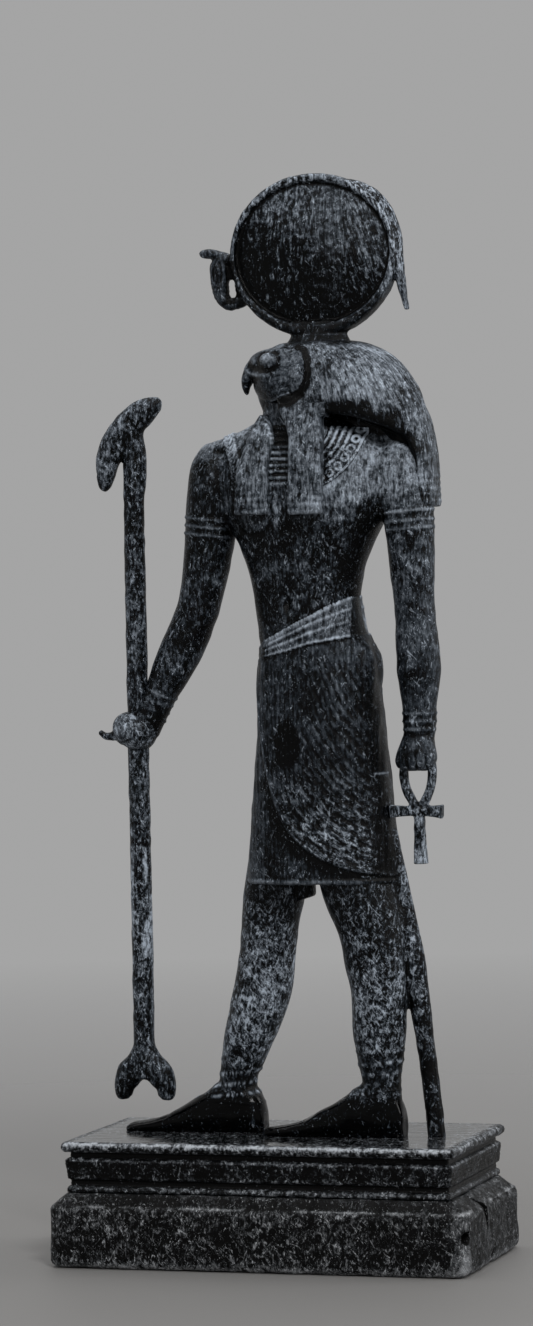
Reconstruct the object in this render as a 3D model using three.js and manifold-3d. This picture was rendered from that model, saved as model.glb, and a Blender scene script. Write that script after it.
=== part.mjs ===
// Falcon-headed striding figure with sun disc, staff and ankh, on a moulded plinth and a base block.
// Millimetres, +Z up. The figure strides towards -X and turns its chest towards -Y.
// The origin is the middle of the base block's underside.
import * as THREE from 'three';
import { mergeVertices } from 'three/addons/utils/BufferGeometryUtils.js';
import Module from 'manifold-3d';

const wasm = await Module();
wasm.setup();

// The gap between pieces that touch
const clearance = 0.3;

// The figure: its height from the sole to the crown of the wig, and the count of grid units in it
const crownHeight = 219;
const gridCount = 219;
const unit = crownHeight / gridCount;

// The plinth: its top slab follows the stride
const strideReach = 45.8 * unit;
const toeMargin = 10.2;
const slabLength = 2 * (strideReach + toeMargin);
const slabDepth = 58;
const slabThickness = 2.5;
const slabOverhang = 1.3;
const frieze = { height: 5.3, inset: 0.9, batter: 0.5 };
const groove = { height: 2.2, inset: 2.1 };
const plate = {
  thickness: 1.5,
  length: slabLength - 2 * slabOverhang,
  depth: slabDepth - 1.5 * slabOverhang,
};
const plinthCorner = 1.1;

// The base block
const blockLedge = 5;
const blockLedgeDepth = 2.8;
const blockWall = 17;
const blockSlope = 3.4;
const blockCorner = 4;
const blockEdge = 1;
const blockLength = plate.length + 2 * blockLedge;
const blockDepth = plate.depth + 2 * blockLedgeDepth;
const blockHeight = blockWall + blockSlope;
const crack = { across: -9.8, mouth: 5, depth: 5.5, drop: 13.9, drift: 4.4 };
const pit = { radius: 1.6, fromEnd: 2, height: 10.7 };

// The staff
const staffDiameter = 5.9;
const staffLength = 195;
const staffLift = 9;
const staffForkHeight = 14;
const staffForkWidth = 18;
const staffForkGap = 6.5;
const staffHeadHeight = 27;
const staffPlace = { x: -39.2 * unit, y: -4 * unit };

const plinthBottom = blockHeight + clearance;
const plinthHeight = plate.thickness + 2 * groove.height + frieze.height + slabThickness;
const slabTop = plinthBottom + plinthHeight;
const soleLevel = slabTop + clearance;

// A closed oval of unit half-widths, rounder at power 2 and squarer above it
function oval(sides, power) {
  const points = [];
  for (let side = 0; side < sides; side += 1) {
    const angle = (2 * Math.PI * side) / sides;
    const bend = (value) => Math.sign(value) * Math.abs(value) ** (2 / power);
    points.push([bend(Math.cos(angle)), bend(Math.sin(angle))]);
  }
  return points;
}

// Turns a closed geometry into a solid whose faces point out
function toSolid(geometry) {
  const bare = new THREE.BufferGeometry();
  bare.setAttribute('position', geometry.attributes.position);
  bare.setIndex(geometry.index);
  const merged = mergeVertices(bare, 1e-3);
  const place = merged.attributes.position;
  const corner = [new THREE.Vector3(), new THREE.Vector3(), new THREE.Vector3()];
  const faces = [];
  let volume = 0;
  for (let i = 0; i < merged.index.count; i += 3) {
    const face = [0, 1, 2].map((offset) => merged.index.getX(i + offset));
    if (new Set(face).size === 3) {
      face.forEach((vertex, k) => corner[k].fromBufferAttribute(place, vertex));
      volume += corner[0].dot(corner[1].cross(corner[2]));
      faces.push(face);
    }
  }
  if (volume < 0) faces.forEach((face) => face.reverse());
  const mesh = new wasm.Mesh({
    numProp: 3,
    vertProperties: new Float32Array(place.array),
    triVerts: new Uint32Array(faces.flat()),
  });
  return new wasm.Manifold(mesh);
}

// A solid skinned over rings of points, with a fan at each end
function skin(rings) {
  const sides = rings[0].length;
  const points = rings.flat();
  const faces = [];
  for (let ring = 0; ring + 1 < rings.length; ring += 1) {
    for (let side = 0; side < sides; side += 1) {
      const here = ring * sides + side;
      const next = ring * sides + ((side + 1) % sides);
      faces.push(here, next, here + sides, next, next + sides, here + sides);
    }
  }
  const middle = (ring) => {
    const sum = new THREE.Vector3();
    ring.forEach((point) => sum.add(point));
    return sum.divideScalar(sides);
  };
  const first = points.push(middle(rings[0])) - 1;
  const final = points.push(middle(rings[rings.length - 1])) - 1;
  const lastRing = (rings.length - 1) * sides;
  for (let side = 0; side < sides; side += 1) {
    const next = (side + 1) % sides;
    faces.push(first, next, side, final, lastRing + side, lastRing + next);
  }
  const geometry = new THREE.BufferGeometry().setFromPoints(points);
  geometry.setIndex(faces);
  return toSolid(geometry);
}

const inGrid = (rows) => rows.map((row) => row.map((value) => value * unit));

// Level sections, one above another. A row is x, y, z, half-width, half-depth, rise of the +X edge
function stack(rows, sides, power = 2) {
  const section = oval(sides, power);
  const rings = inGrid(rows).map(([x, y, z, halfWidth, halfDepth, rise = 0]) =>
    section.map(([u, v]) => new THREE.Vector3(x + u * halfWidth, y + v * halfDepth, z + u * rise)));
  return skin(rings);
}

// Sections square to a path seen from the front. A row is x, y, z, half-width, half-depth
function limb(rows, sides, power = 2) {
  const section = oval(sides, power);
  const path = inGrid(rows);
  const rings = path.map(([x, y, z, halfWidth, halfDepth], index) => {
    const before = path[Math.max(index - 1, 0)];
    const after = path[Math.min(index + 1, path.length - 1)];
    const along = new THREE.Vector2(after[0] - before[0], after[2] - before[2]).normalize();
    return section.map(([u, v]) => new THREE.Vector3(
      x + u * halfWidth * along.y,
      y + v * halfDepth,
      z - u * halfWidth * along.x,
    ));
  });
  return skin(rings);
}

// Sections square to X, cut flat at the ground. A row is x, y, half-width, height
function footprint(rows, sides, power) {
  const section = oval(sides, power);
  const widest = 0.4;
  const level = (height, v) => Math.max(0, height * (widest + (1 - widest) * v));
  const rings = inGrid(rows).map(([x, y, halfWidth, height]) =>
    section.map(([u, v]) => new THREE.Vector3(x, y + u * halfWidth, level(height, v))));
  return skin(rings);
}

// A ball stretched to three radii
function ball([x, y, z], [across, deep, high], sides = 16) {
  const geometry = new THREE.SphereGeometry(1, sides, Math.round(sides / 2));
  geometry.scale(across * unit, deep * unit, high * unit);
  geometry.translate(x * unit, y * unit, z * unit);
  return toSolid(geometry);
}

// An upright oval disc. A row is depth, half-width, half-height
function ovalDisc(rows, x, z, sides) {
  const section = oval(sides, 2);
  const rings = inGrid(rows).map(([depth, halfWidth, halfHeight]) =>
    section.map(([u, v]) => new THREE.Vector3(x * unit + u * halfWidth, depth, z * unit + v * halfHeight)));
  return skin(rings);
}

// A flat shape in the XZ plane given a thickness along Y
function cutOut(outline, thickness) {
  const geometry = new THREE.ExtrudeGeometry(outline, {
    depth: thickness,
    bevelEnabled: false,
    curveSegments: 8,
  });
  geometry.translate(0, 0, -thickness / 2);
  geometry.rotateX(Math.PI / 2);
  return toSolid(geometry);
}

const join = (solids) => solids.reduce((whole, solid) => whole.add(solid));

// The trunk from the hips to the neck
const trunkRows = [
  [12.5, 0, 128, 15, 10.5],
  [10.9, 0, 138, 15, 9.6],
  [10, 0, 146, 15.1, 9],
  [9.5, 0, 155, 16.2, 9.6],
  [9.6, 0, 163, 19, 10.8],
  [10, 0, 171, 23, 12],
  [10.3, 0, 179, 26, 11.6],
  [10.2, 0, 186.5, 26, 10.2],
  [10, 0, 191.4, 21.8, 9],
  [9.6, 0, 195.2, 15.4, 8],
  [8.8, 0, 198.5, 11, 7.4],
  [8, 0, 204, 9.4, 7.2],
];

// The broad collar: a thicker layer of the chest, inside an oval seen from the front
function collar() {
  const thickness = 0.65;
  const layer = trunkRows
    .filter(([, , z]) => z >= 163)
    .map(([x, y, z, halfWidth, halfDepth]) => [x, y, z, halfWidth + thickness, halfDepth + thickness]);
  const rim = new THREE.Shape();
  rim.absellipse(10.3 * unit, 196 * unit, 23.5 * unit, 19 * unit, 0, 2 * Math.PI);
  return stack(layer, 18, 2.3).intersect(cutOut(rim, 40 * unit));
}

function trunk() {
  return stack(trunkRows, 18, 2.3).add(collar());
}

// The arm on the staff side hangs out and bends forward to the staff
const staffArmRows = [
  [-13.4, 0, 190.4, 2.6, 2.6],
  [-14.9, 0, 188.2, 5.7, 5.6],
  [-16.3, 0, 183.6, 7.1, 7.1],
  [-17.2, 0, 176, 7.4, 7.6],
  [-18.7, 0, 163, 6.9, 6.8],
  [-21.3, -0.8, 148, 6, 6],
  [-23.4, -1.4, 141.5, 5.9, 5.9],
  [-26.3, -2.2, 135, 6, 5.9],
  [-29.2, -3, 128.5, 5.7, 5.6],
  [-32.5, -3.7, 121, 4.8, 4.8],
  [-36.6, -4, 111.6, 4, 4.1],
];

// The other arm hangs straight and holds the ankh
const ankhArmRows = [
  [33.8, -0.4, 190.4, 2.6, 2.6],
  [35.6, -0.4, 188.2, 5.7, 5.6],
  [37.2, -0.4, 183.6, 7, 7],
  [38.6, -0.4, 176, 7.1, 7.4],
  [39.6, -0.5, 163, 6.6, 6.8],
  [40.1, -0.7, 151.7, 5.9, 6],
  [40.5, -0.9, 145, 5.5, 5.7],
  [41, -1.2, 137, 5.9, 5.8],
  [41.5, -1.5, 128.5, 6.1, 5.8],
  [41.6, -1.8, 118, 4.8, 4.7],
  [41.6, -2, 109.8, 4.3, 4.4],
];

// The row at a share of the way through a list of rows
function rowAt(rows, share) {
  const place = share * (rows.length - 1);
  const index = Math.min(Math.floor(place), rows.length - 2);
  return rows[index].map((value, column) => value + (rows[index + 1][column] - value) * (place - index));
}

// A limb's rows with raised bands round it, each between two shares of its length
function banded(rows, bands, lift) {
  const last = rows.length - 1;
  const step = 0.004;
  const between = (share) => bands.some(([start, end]) => share >= start && share <= end);
  const spots = rows
    .map((row, index) => ({ share: index / last, row, raise: 0 }))
    .filter(({ share }) => !between(share));
  for (const [start, end] of bands) {
    for (const [share, raise] of [[start - step, 0], [start, lift], [end, lift], [end + step, 0]]) {
      spots.push({ share, row: rowAt(rows, share), raise });
    }
  }
  spots.sort((one, other) => one.share - other.share);
  return spots.map(({ row: [x, y, z, halfWidth, halfDepth], raise }) =>
    [x, y, z, halfWidth + raise, halfDepth + raise]);
}

function staffArm() {
  const arm = limb(banded(staffArmRows, [[0.31, 0.36], [0.885, 0.955]], 0.5), 11);
  const fist = ball([-38.7, -4.2, 111.3], [5.3, 6.2, 5.2], 10);
  const fingers = ball([-41.6, -5, 110.9], [4.9, 5.4, 4], 8);
  const thumb = limb([
    [-43, -6, 111.2, 1.6, 1.8],
    [-46.6, -6, 110.6, 1.2, 1.4],
    [-50, -6, 112, 0.7, 0.9],
  ], 6);
  return join([arm, fist, fingers, thumb]);
}

function ankhArm() {
  const arm = limb(banded(ankhArmRows, [[0.315, 0.36], [0.92, 0.975]], 0.5), 11);
  const hand = stack([
    [41.4, -2, 111, 4.1, 4],
    [40.9, -2.2, 107.6, 4.9, 4.7],
    [40.6, -2.4, 104, 5.7, 5.2],
    [40.4, -2.4, 101.2, 4.8, 4.4],
    [40.4, -2.4, 100.4, 3.4, 3],
  ], 10, 2.6);
  return join([arm, hand]);
}

// The ankh hangs below the hand, its bar end touching the kilt
function ankh() {
  const loop = limb([
    [40.9, -2.4, 90.3, 1.3, 1.6],
    [38.4, -2.4, 92.6, 1.3, 1.6],
    [36.2, -2.4, 97, 1.3, 1.6],
    [36, -2.4, 102, 1.3, 1.6],
    [41, -2.4, 106.6, 1.3, 1.6],
    [46, -2.4, 102, 1.3, 1.6],
    [45.8, -2.4, 97, 1.3, 1.6],
    [43.6, -2.4, 92.6, 1.3, 1.6],
    [41.1, -2.4, 90.3, 1.3, 1.6],
  ], 8);
  const bar = limb([
    [33.2, -2.4, 89.2, 1.7, 1.7],
    [38, -2.4, 89.3, 1.3, 1.7],
    [43.6, -2.4, 89.3, 1.3, 1.7],
    [47.8, -2.4, 89.1, 2, 1.7],
  ], 8, 4);
  const stem = limb([
    [41.2, -2.4, 90, 1.3, 1.7],
    [41.2, -2.4, 83, 1.4, 1.7],
    [41.4, -2.4, 74.8, 1.8, 1.7],
  ], 8, 4);
  return join([loop, bar, stem]);
}

// The kilt, with a level hem and a waist that rises to the back
const kiltSquareness = 2.5;
const kiltRows = [
  [13.3, 0, 69.6, 21.6, 12.4, 0],
  [13.1, 0, 76, 21.3, 12.3, 0],
  [13, 0, 86, 20.3, 12.1, 0],
  [13, 0, 97, 19.3, 12, 0],
  [13.1, 0, 108.5, 18.2, 12, 0],
  [13, 0, 120, 17.6, 12, 0],
  [12.6, 0, 129, 16.7, 11.7, 2],
  [11.7, 0, 136, 15.4, 10.9, 4.8],
  [10.9, 0, 140.6, 14.9, 10.2, 6.6],
];

// The half-depth of the kilt at a point seen from the front
function kiltDepth(x, z) {
  const above = Math.max(1, kiltRows.findIndex((row) => row[2] > z));
  const [below, over] = [kiltRows[above - 1], kiltRows[above]];
  const share = (z - below[2]) / (over[2] - below[2]);
  const [middle, , , halfWidth, halfDepth] = below.map((value, i) => value + (over[i] - value) * share);
  const across = Math.min(1, Math.abs(x - middle) / halfWidth);
  return halfDepth * (1 - across ** kiltSquareness) ** (1 / kiltSquareness);
}

// A raised fold along a curve seen from the front, on the near (-1) or far (1) face of the kilt
function fold(start, bend, end, face, halfWidth) {
  const [from, through, to] = [start, bend, end].map(([x, z]) => new THREE.Vector2(x, z));
  const curve = new THREE.QuadraticBezierCurve(from, through, to);
  const height = 0.6;
  const rows = curve.getPoints(4).map(({ x, y: z }) => [x, face * kiltDepth(x, z), z, halfWidth, height]);
  return limb(rows, 4);
}

function kilt() {
  const parts = [stack(kiltRows, 18, kiltSquareness)];
  for (const face of [-1, 1]) {
    parts.push(fold([-4.6, 99], [2, 78], [29, 71.5], face, 0.8));
  }
  for (let pleat = 1; pleat <= 4; pleat += 1) {
    const shift = 5.2 * pleat;
    const start = [4 + 1.1 * shift, 119 - pleat];
    const bend = [6 + shift, 84 + 0.9 * shift];
    const end = [29.6, 74 + shift];
    parts.push(fold(start, bend, end, -1, 0.55));
  }
  return join(parts);
}

// Three bands of the belt, closer together at the front
function belt() {
  const bands = [0, 1, 2].map((turn) => {
    const middle = 140.6 - 3.1 * turn;
    const rise = 6.7 - 1.35 * turn;
    const x = 10.8 + 0.35 * turn;
    const halfWidth = 14.9 + 0.35 * turn;
    const halfDepth = 10.7 + 0.3 * turn;
    return stack([
      [x, 0, middle - 2, halfWidth, halfDepth, rise - 0.6],
      [x, 0, middle - 1, halfWidth + 0.5, halfDepth + 0.5, rise],
      [x, 0, middle + 0.2, halfWidth, halfDepth, rise],
    ], 18, kiltSquareness);
  });
  return join(bands);
}

// The leg that steps forward, on the staff side and slightly farther away
const frontLegRows = [
  [-0.4, 2.6, 76, 8.8, 8.4],
  [-2.4, 2.7, 66, 8.6, 8],
  [-3.8, 2.8, 58, 8, 7.8],
  [-4.8, 3, 48.5, 7.8, 7.5],
  [-6, 3, 41, 8.1, 7.4],
  [-8.2, 3, 33.5, 7.7, 7.2],
  [-11.4, 3, 24, 6.7, 6.2],
  [-13.9, 3, 14.5, 5.3, 5],
  [-14.6, 3, 2, 5.8, 4.6],
];

// The leg that stays behind
const backLegRows = [
  [21.6, -2.6, 76, 10.6, 8.6],
  [23.8, -2.7, 67, 10.2, 8.4],
  [26.6, -2.8, 58, 9.2, 8],
  [28.1, -3, 48.5, 8.5, 7.6],
  [28.9, -3, 39, 7.8, 7.4],
  [28.8, -3, 29, 7.4, 6.8],
  [29, -3, 21.5, 6.5, 5.8],
  [29.2, -3, 14.5, 5.4, 5],
  [29.3, -3, 2, 5.8, 4.6],
];

// A foot from heel to toes
function foot(heel, y) {
  const rows = [
    [0, 3, 5.5],
    [1.6, 4.3, 10.5],
    [6, 5, 14.5],
    [12, 5, 14.5],
    [18, 5.3, 10.4],
    [28, 6, 6.2],
    [36, 6, 4],
    [40.2, 3.6, 1.8],
  ];
  return footprint(rows.map(([back, halfWidth, height]) => [heel - back, y, halfWidth, height]), 12, 2.4);
}

// The end of the kilt's inner fold, which shows below the hem between the thighs
function innerFold() {
  return stack([
    [8, 0.5, 64.6, 2.5, 2.6],
    [7.4, 0.5, 71, 2.7, 3],
  ], 8, 3);
}

function legs() {
  const front = limb(banded(frontLegRows, [[0.8, 0.91]], 0.45), 12);
  const back = limb(banded(backLegRows, [[0.75, 0.89]], 0.45), 12);
  return join([front, back, innerFold(), foot(-6.1, 3), foot(35.7, -3)]);
}

// The bull's tail hangs from the belt behind the back leg down to the ground
function tail() {
  return limb([
    [31.5, 0, 84, 2.4, 2.4],
    [34, 0, 70, 2.8, 2.5],
    [35.9, 0, 58, 3.5, 2.5],
    [38.1, 0, 48, 3.4, 2.5],
    [39.4, 0, 38, 3.1, 2.5],
    [41, 0, 26, 2.5, 2.4],
    [42.4, 0, 14, 2.5, 2.4],
    [43.6, 0, 2, 2.4, 2.4],
    [43.6, 0, 0, 2.4, 2.4],
  ], 10);
}

// The wig over the head, open round the face, its back falling behind the shoulder
const faceRing = { x: 6.8, z: 209.3, radius: 10.3, halfDepth: 8.4 };

function wig() {
  const cap = stack([
    [25.7, 0, 195, 15.6, 9, -6.2],
    [26, 0, 197, 18.2, 12, -4.8],
    [25.4, 0, 200, 19.2, 12.7, -2.6],
    [23.9, 0, 203, 19.6, 13, -0.8],
    [22, 0, 206, 20, 13, 0],
    [20.2, 0, 209.5, 19.6, 12.8, 0],
    [18.4, 0, 213, 18.6, 11.8, 0],
    [16.4, 0, 216, 16.6, 9.8, 0],
    [14.9, 0, 218.6, 11.6, 6.6, 0],
  ], 18, 2.2);
  const fall = stack([
    [28.5, 2.6, 206, 11, 9.5],
    [33.2, 2.6, 199.5, 10.4, 9.8],
    [37.6, 2.8, 192.5, 8, 9.6],
    [40.6, 3, 186, 5.8, 9.2],
    [41.8, 3, 180, 4.8, 8.8],
    [42.2, 3, 173.4, 4.6, 8.4],
  ], 14, 2.6);
  const outline = new THREE.Shape();
  outline.absarc(faceRing.x * unit, faceRing.z * unit, faceRing.radius * unit, 0, 2 * Math.PI);
  const depth = 12 * unit;
  const opening = cutOut(outline, depth);
  const reach = faceRing.halfDepth * unit + depth / 2;
  const hollows = opening.translate([0, -reach, 0]).add(opening.translate([0, reach, 0]));
  return cap.subtract(hollows).add(fall);
}

// The wig's two front ends, one on each side of the throat
function lappets() {
  const near = stack([
    [12.6, -9.4, 204, 4.8, 3],
    [12.7, -10.6, 194, 5, 3],
    [12.8, -12, 183, 5.2, 2.9],
    [12.9, -12.4, 171.3, 5.5, 2.7],
  ], 10, 4);
  const far = stack([
    [3, -6.2, 200, 3.2, 3],
    [0.2, -8.6, 192, 3.8, 3],
    [-1.6, -11, 183, 4.8, 2.8],
    [-1.8, -12.1, 171.5, 5.1, 2.6],
  ], 10, 4);
  return near.add(far);
}

// The falcon's head, with a ringed eye on each side and a hooked beak
function head() {
  const skull = ball([6.4, 0, 209.3], [11.7, 11, 9.9], 14);
  const beak = limb([
    [-1.2, 0, 211.6, 3.8, 4.2],
    [-4.4, 0, 210.6, 2.7, 3],
    [-6.3, 0, 208.4, 2.1, 2],
    [-6.8, 0, 206.2, 1.4, 1.3],
    [-6.4, 0, 204.2, 0.5, 0.5],
  ], 10);
  const lowerBeak = ball([-2.2, 0, 205], [3, 3, 2.8], 8);
  const throat = limb([
    [3.4, 0, 208, 6.8, 6.4],
    [4.6, 0, 201, 7.4, 6.8],
    [8.6, 0, 189, 7.8, 7],
  ], 12);
  const eyes = [-1, 1].map((side) => ball([2, side * 9.6, 213.6], [2.3, 1.3, 2.1], 8));
  return join([skull, beak, lowerBeak, throat, ...eyes]);
}

// The sun disc, an oval that swells on both faces inside the round body of its serpent
const disc = { x: 13.5, z: 243.3, halfWidth: 23.8, halfHeight: 22, ringWidth: 2.8, rimDepth: 1.8 };

function sunDisc() {
  const faceWidth = disc.halfWidth - 0.7 * disc.ringWidth;
  const faceHeight = disc.halfHeight - disc.ringWidth;
  const near = [
    [-5.3, 0.34 * faceWidth, 0.34 * faceHeight],
    [-4.1, 0.74 * faceWidth, 0.74 * faceHeight],
    [-disc.rimDepth, faceWidth, faceHeight],
    [-3.3, faceWidth + 0.4, faceHeight + 0.7],
    [-3.4, disc.halfWidth - 0.8, disc.halfHeight - 0.9],
    [-disc.rimDepth, disc.halfWidth, disc.halfHeight],
  ];
  const far = near.map(([depth, width, height]) => [-depth, width, height]).reverse();
  const stem = stack([
    [14, 0, 216, 11, 6.5],
    [14.1, 0, 219, 8.8, 4.6],
    [14.1, 0, 221.4, 8.1, 3.7],
    [13.8, 0, 224.8, 11.4, 3.3],
  ], 10);
  return ovalDisc([...near, ...far], disc.x, disc.z, 24).add(stem);
}

// The cobra rears at the front of the disc, its hood grown onto the ring. Its tail lies over the back
// of the ring and hangs free at the end
function cobra() {
  const body = limb([
    [-5, 0, 233.2, 2.4, 1.8],
    [-8, 0, 230.9, 1.9, 1.8],
    [-11, 0, 230.1, 1.75, 1.9],
    [-13.3, 0, 232.3, 2.1, 2.4],
    [-14, 0, 236, 2.5, 2.8],
    [-14.1, 0, 240, 2.7, 2.8],
    [-13.4, 0, 243, 2, 2.2],
  ], 8);
  const serpentHead = limb([
    [-8.6, 0, 241.6, 1.7, 2.2],
    [-11.4, 0, 242.6, 1.6, 2],
    [-14.2, 0, 243.7, 1.4, 1.9],
    [-17, 0, 244.3, 1.45, 1.9],
    [-19.4, 0, 244.2, 0.8, 1],
  ], 8);
  const web = stack([
    [-10.3, 0, 236.9, 1.5, 1.1],
    [-10.4, 0, 242, 2.4, 1.1],
  ], 6);
  const tailEnd = limb([
    [24.6, 0.6, 262.1, 1.1, 2.4],
    [29.8, 0.6, 259.3, 1.7, 2.6],
    [34, 0.6, 254.4, 1.8, 2.6],
    [36.4, 0.8, 247.5, 1.8, 2.5],
    [37.1, 1, 241.5, 1.5, 2.3],
    [37.5, 1.2, 236.5, 1.4, 2.1],
    [38.3, 1.4, 231.5, 1, 1.6],
    [39.3, 1.5, 227, 0.6, 1],
  ], 8);
  return join([body, serpentHead, web, tailEnd]);
}

// A limb whose rows are in millimetres
function inMillimetres(rows, sides) {
  return limb(rows.map((row) => row.map((value) => value / unit)), sides);
}

// One prong of the staff's forked foot
function prong(side) {
  const radius = staffDiameter / 2;
  const lobe = (staffForkWidth - staffForkGap) / 4;
  const spread = side * (staffForkWidth / 2 - lobe);
  return inMillimetres([
    [0, 0, staffForkHeight * 1.1, radius * 0.9, radius * 0.9],
    [spread * 0.3, 0, staffForkHeight * 0.8, radius * 1.05, radius],
    [spread * 0.72, 0, staffForkHeight * 0.52, lobe * 1.35, radius * 0.95],
    [spread, 0, staffForkHeight * 0.27, lobe, radius * 0.85],
    [spread * 1.02, 0, staffForkHeight * 0.08, lobe * 0.8, radius * 0.65],
    [spread, 0, 0, lobe * 0.4, radius * 0.3],
  ], 9);
}

// The staff: a round rod with a forked foot and the head of a long-snouted animal
function staff() {
  const radius = staffDiameter / 2;
  const taper = 0.94;
  const rodFoot = staffForkHeight * 0.35;
  const rodLength = staffLength - staffHeadHeight * 0.3 - rodFoot;
  const rod = new THREE.CylinderGeometry(radius * taper, radius, rodLength, 14);
  rod.rotateX(Math.PI / 2);
  rod.translate(0, 0, rodFoot + rodLength / 2);
  const share = staffHeadHeight / 27;
  const headRows = [
    [8.4, 0, 0, 1, 1.4],
    [6, 0, -1.6, 3, 2.4],
    [2.4, 0, -4, 4.3, 3.2],
    [-1.6, 0, -7.6, 4.9, 3.5],
    [-5, 0, -12.4, 4.8, 3.4],
    [-7.2, 0, -17.2, 3.9, 3],
    [-8.4, 0, -21.4, 3, 2.5],
    [-8.8, 0, -24.6, 1.7, 1.8],
  ].map((row) => row.map((value) => value * share));
  const animal = inMillimetres(headRows, 10).translate([0, 0, staffLength - share]);
  return join([toSolid(rod), prong(-1), prong(1), animal]);
}

// The hand is drilled for the staff
function boreForStaff() {
  const radius = staffDiameter / 2 + clearance;
  const bore = new THREE.CylinderGeometry(radius, radius, 60 * unit, 18);
  bore.rotateX(Math.PI / 2);
  bore.translate(staffPlace.x, staffPlace.y, 110 * unit);
  return toSolid(bore);
}

function figure() {
  const body = [trunk(), staffArm(), ankhArm(), ankh(), kilt(), belt(), legs(), tail()];
  const above = [wig(), lappets(), head(), sunDisc(), cobra()];
  return join([...body, ...above]).subtract(boreForStaff());
}

// A rectangle with round corners at one level
function roundedRing(halfLength, halfDepth, corner, z) {
  const points = [];
  const turns = 3;
  for (const [signX, signY, start] of [[1, 1, 0], [-1, 1, 1], [-1, -1, 2], [1, -1, 3]]) {
    for (let turn = 0; turn <= turns; turn += 1) {
      const angle = ((start + turn / turns) * Math.PI) / 2;
      const x = signX * (halfLength - corner) + corner * Math.cos(angle);
      const y = signY * (halfDepth - corner) + corner * Math.sin(angle);
      points.push(new THREE.Vector3(x, y, z));
    }
  }
  return points;
}

// The plinth's moulding, from the foot plate up to the overhanging slab
function plinth() {
  const rings = [];
  const level = (inset, z) => {
    rings.push(roundedRing(slabLength / 2 - inset, slabDepth / 2 - inset, plinthCorner, z));
  };
  const plateLevel = (inset, z) => {
    rings.push(roundedRing(plate.length / 2 - inset, plate.depth / 2 - inset, plinthCorner, z));
  };
  const friezeBottom = plate.thickness + groove.height;
  const friezeTop = friezeBottom + frieze.height;
  const slabBottom = friezeTop + groove.height;
  const softness = 0.5;
  plateLevel(0, 0);
  plateLevel(0, plate.thickness - softness);
  plateLevel(softness, plate.thickness);
  level(groove.inset, plate.thickness + softness);
  level(groove.inset, friezeBottom - softness);
  level(frieze.inset + frieze.batter, friezeBottom);
  level(frieze.inset, friezeTop - softness);
  level(frieze.inset + softness, friezeTop);
  level(groove.inset, friezeTop + softness);
  level(groove.inset, slabBottom - softness);
  level(softness, slabBottom);
  level(0, slabBottom + softness);
  level(0, plinthHeight - softness);
  level(softness, plinthHeight);
  return skin(rings);
}

// The base block, with a crack and a small pit at its worn end
function baseBlock() {
  const rings = [];
  const level = (inset, insetDepth, z) => {
    const corner = Math.max(blockCorner - inset * 0.4, plinthCorner);
    rings.push(roundedRing(blockLength / 2 - inset, blockDepth / 2 - insetDepth, corner, z));
  };
  level(blockEdge, blockEdge, 0);
  level(0, 0, blockEdge);
  level(0, 0, blockWall - blockEdge / 2);
  level(blockEdge / 2, blockEdge / 2, blockWall);
  level(blockLedge - clearance, blockLedgeDepth - clearance, blockHeight);
  const half = crack.mouth / 2;
  const split = new THREE.Shape();
  split.moveTo(-half, blockHeight + 1);
  split.lineTo(half, blockHeight + 1);
  split.lineTo(half + crack.drift * 0.3, blockHeight - crack.drop * 0.4);
  split.lineTo(crack.drift, blockHeight - crack.drop);
  split.lineTo(crack.drift * 0.5 - half, blockHeight - crack.drop * 0.45);
  const wedge = cutOut(split, 2 * crack.depth).rotate([0, 0, 90]);
  const pitHole = new THREE.IcosahedronGeometry(pit.radius, 1);
  pitHole.translate(blockLength / 2 - pit.fromEnd, -blockDepth / 2, pit.height);
  return skin(rings)
    .subtract(wedge.translate([blockLength / 2, crack.across, 0]))
    .subtract(toSolid(pitHole));
}

// A named piece of the model with its finish
function piece(name, solid, material) {
  const { vertProperties, triVerts } = solid.getMesh();
  const geometry = new THREE.BufferGeometry();
  geometry.setAttribute('position', new THREE.BufferAttribute(vertProperties, 3));
  geometry.setIndex(new THREE.BufferAttribute(triVerts, 1));
  geometry.computeVertexNormals();
  const mesh = new THREE.Mesh(geometry, material);
  mesh.name = name;
  return mesh;
}

const darkCasting = new THREE.MeshStandardMaterial({ color: 0x20242c, roughness: 0.38, metalness: 0.25 });
const plinthCasting = new THREE.MeshStandardMaterial({ color: 0x1b1d20, roughness: 0.45, metalness: 0.2 });
const wornBlock = new THREE.MeshStandardMaterial({ color: 0x1a1b1c, roughness: 0.7, metalness: 0.1 });

const part = new THREE.Group();

const figureMesh = piece('figure', figure(), darkCasting);
figureMesh.position.z = soleLevel;

const staffMesh = piece('was_sceptre', staff(), darkCasting);
staffMesh.position.set(staffPlace.x, staffPlace.y, slabTop + staffLift);

const plinthMesh = piece('plinth', plinth(), plinthCasting);
plinthMesh.position.z = plinthBottom;

const blockMesh = piece('base_block', baseBlock(), wornBlock);

part.add(figureMesh, staffMesh, plinthMesh, blockMesh);

export default part;
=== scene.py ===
# The dressed falcon-headed figure on its plinth and base block.
import math

import bpy
import numpy as np
from mathutils import Matrix, Vector
from mathutils.bvhtree import BVHTree


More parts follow.
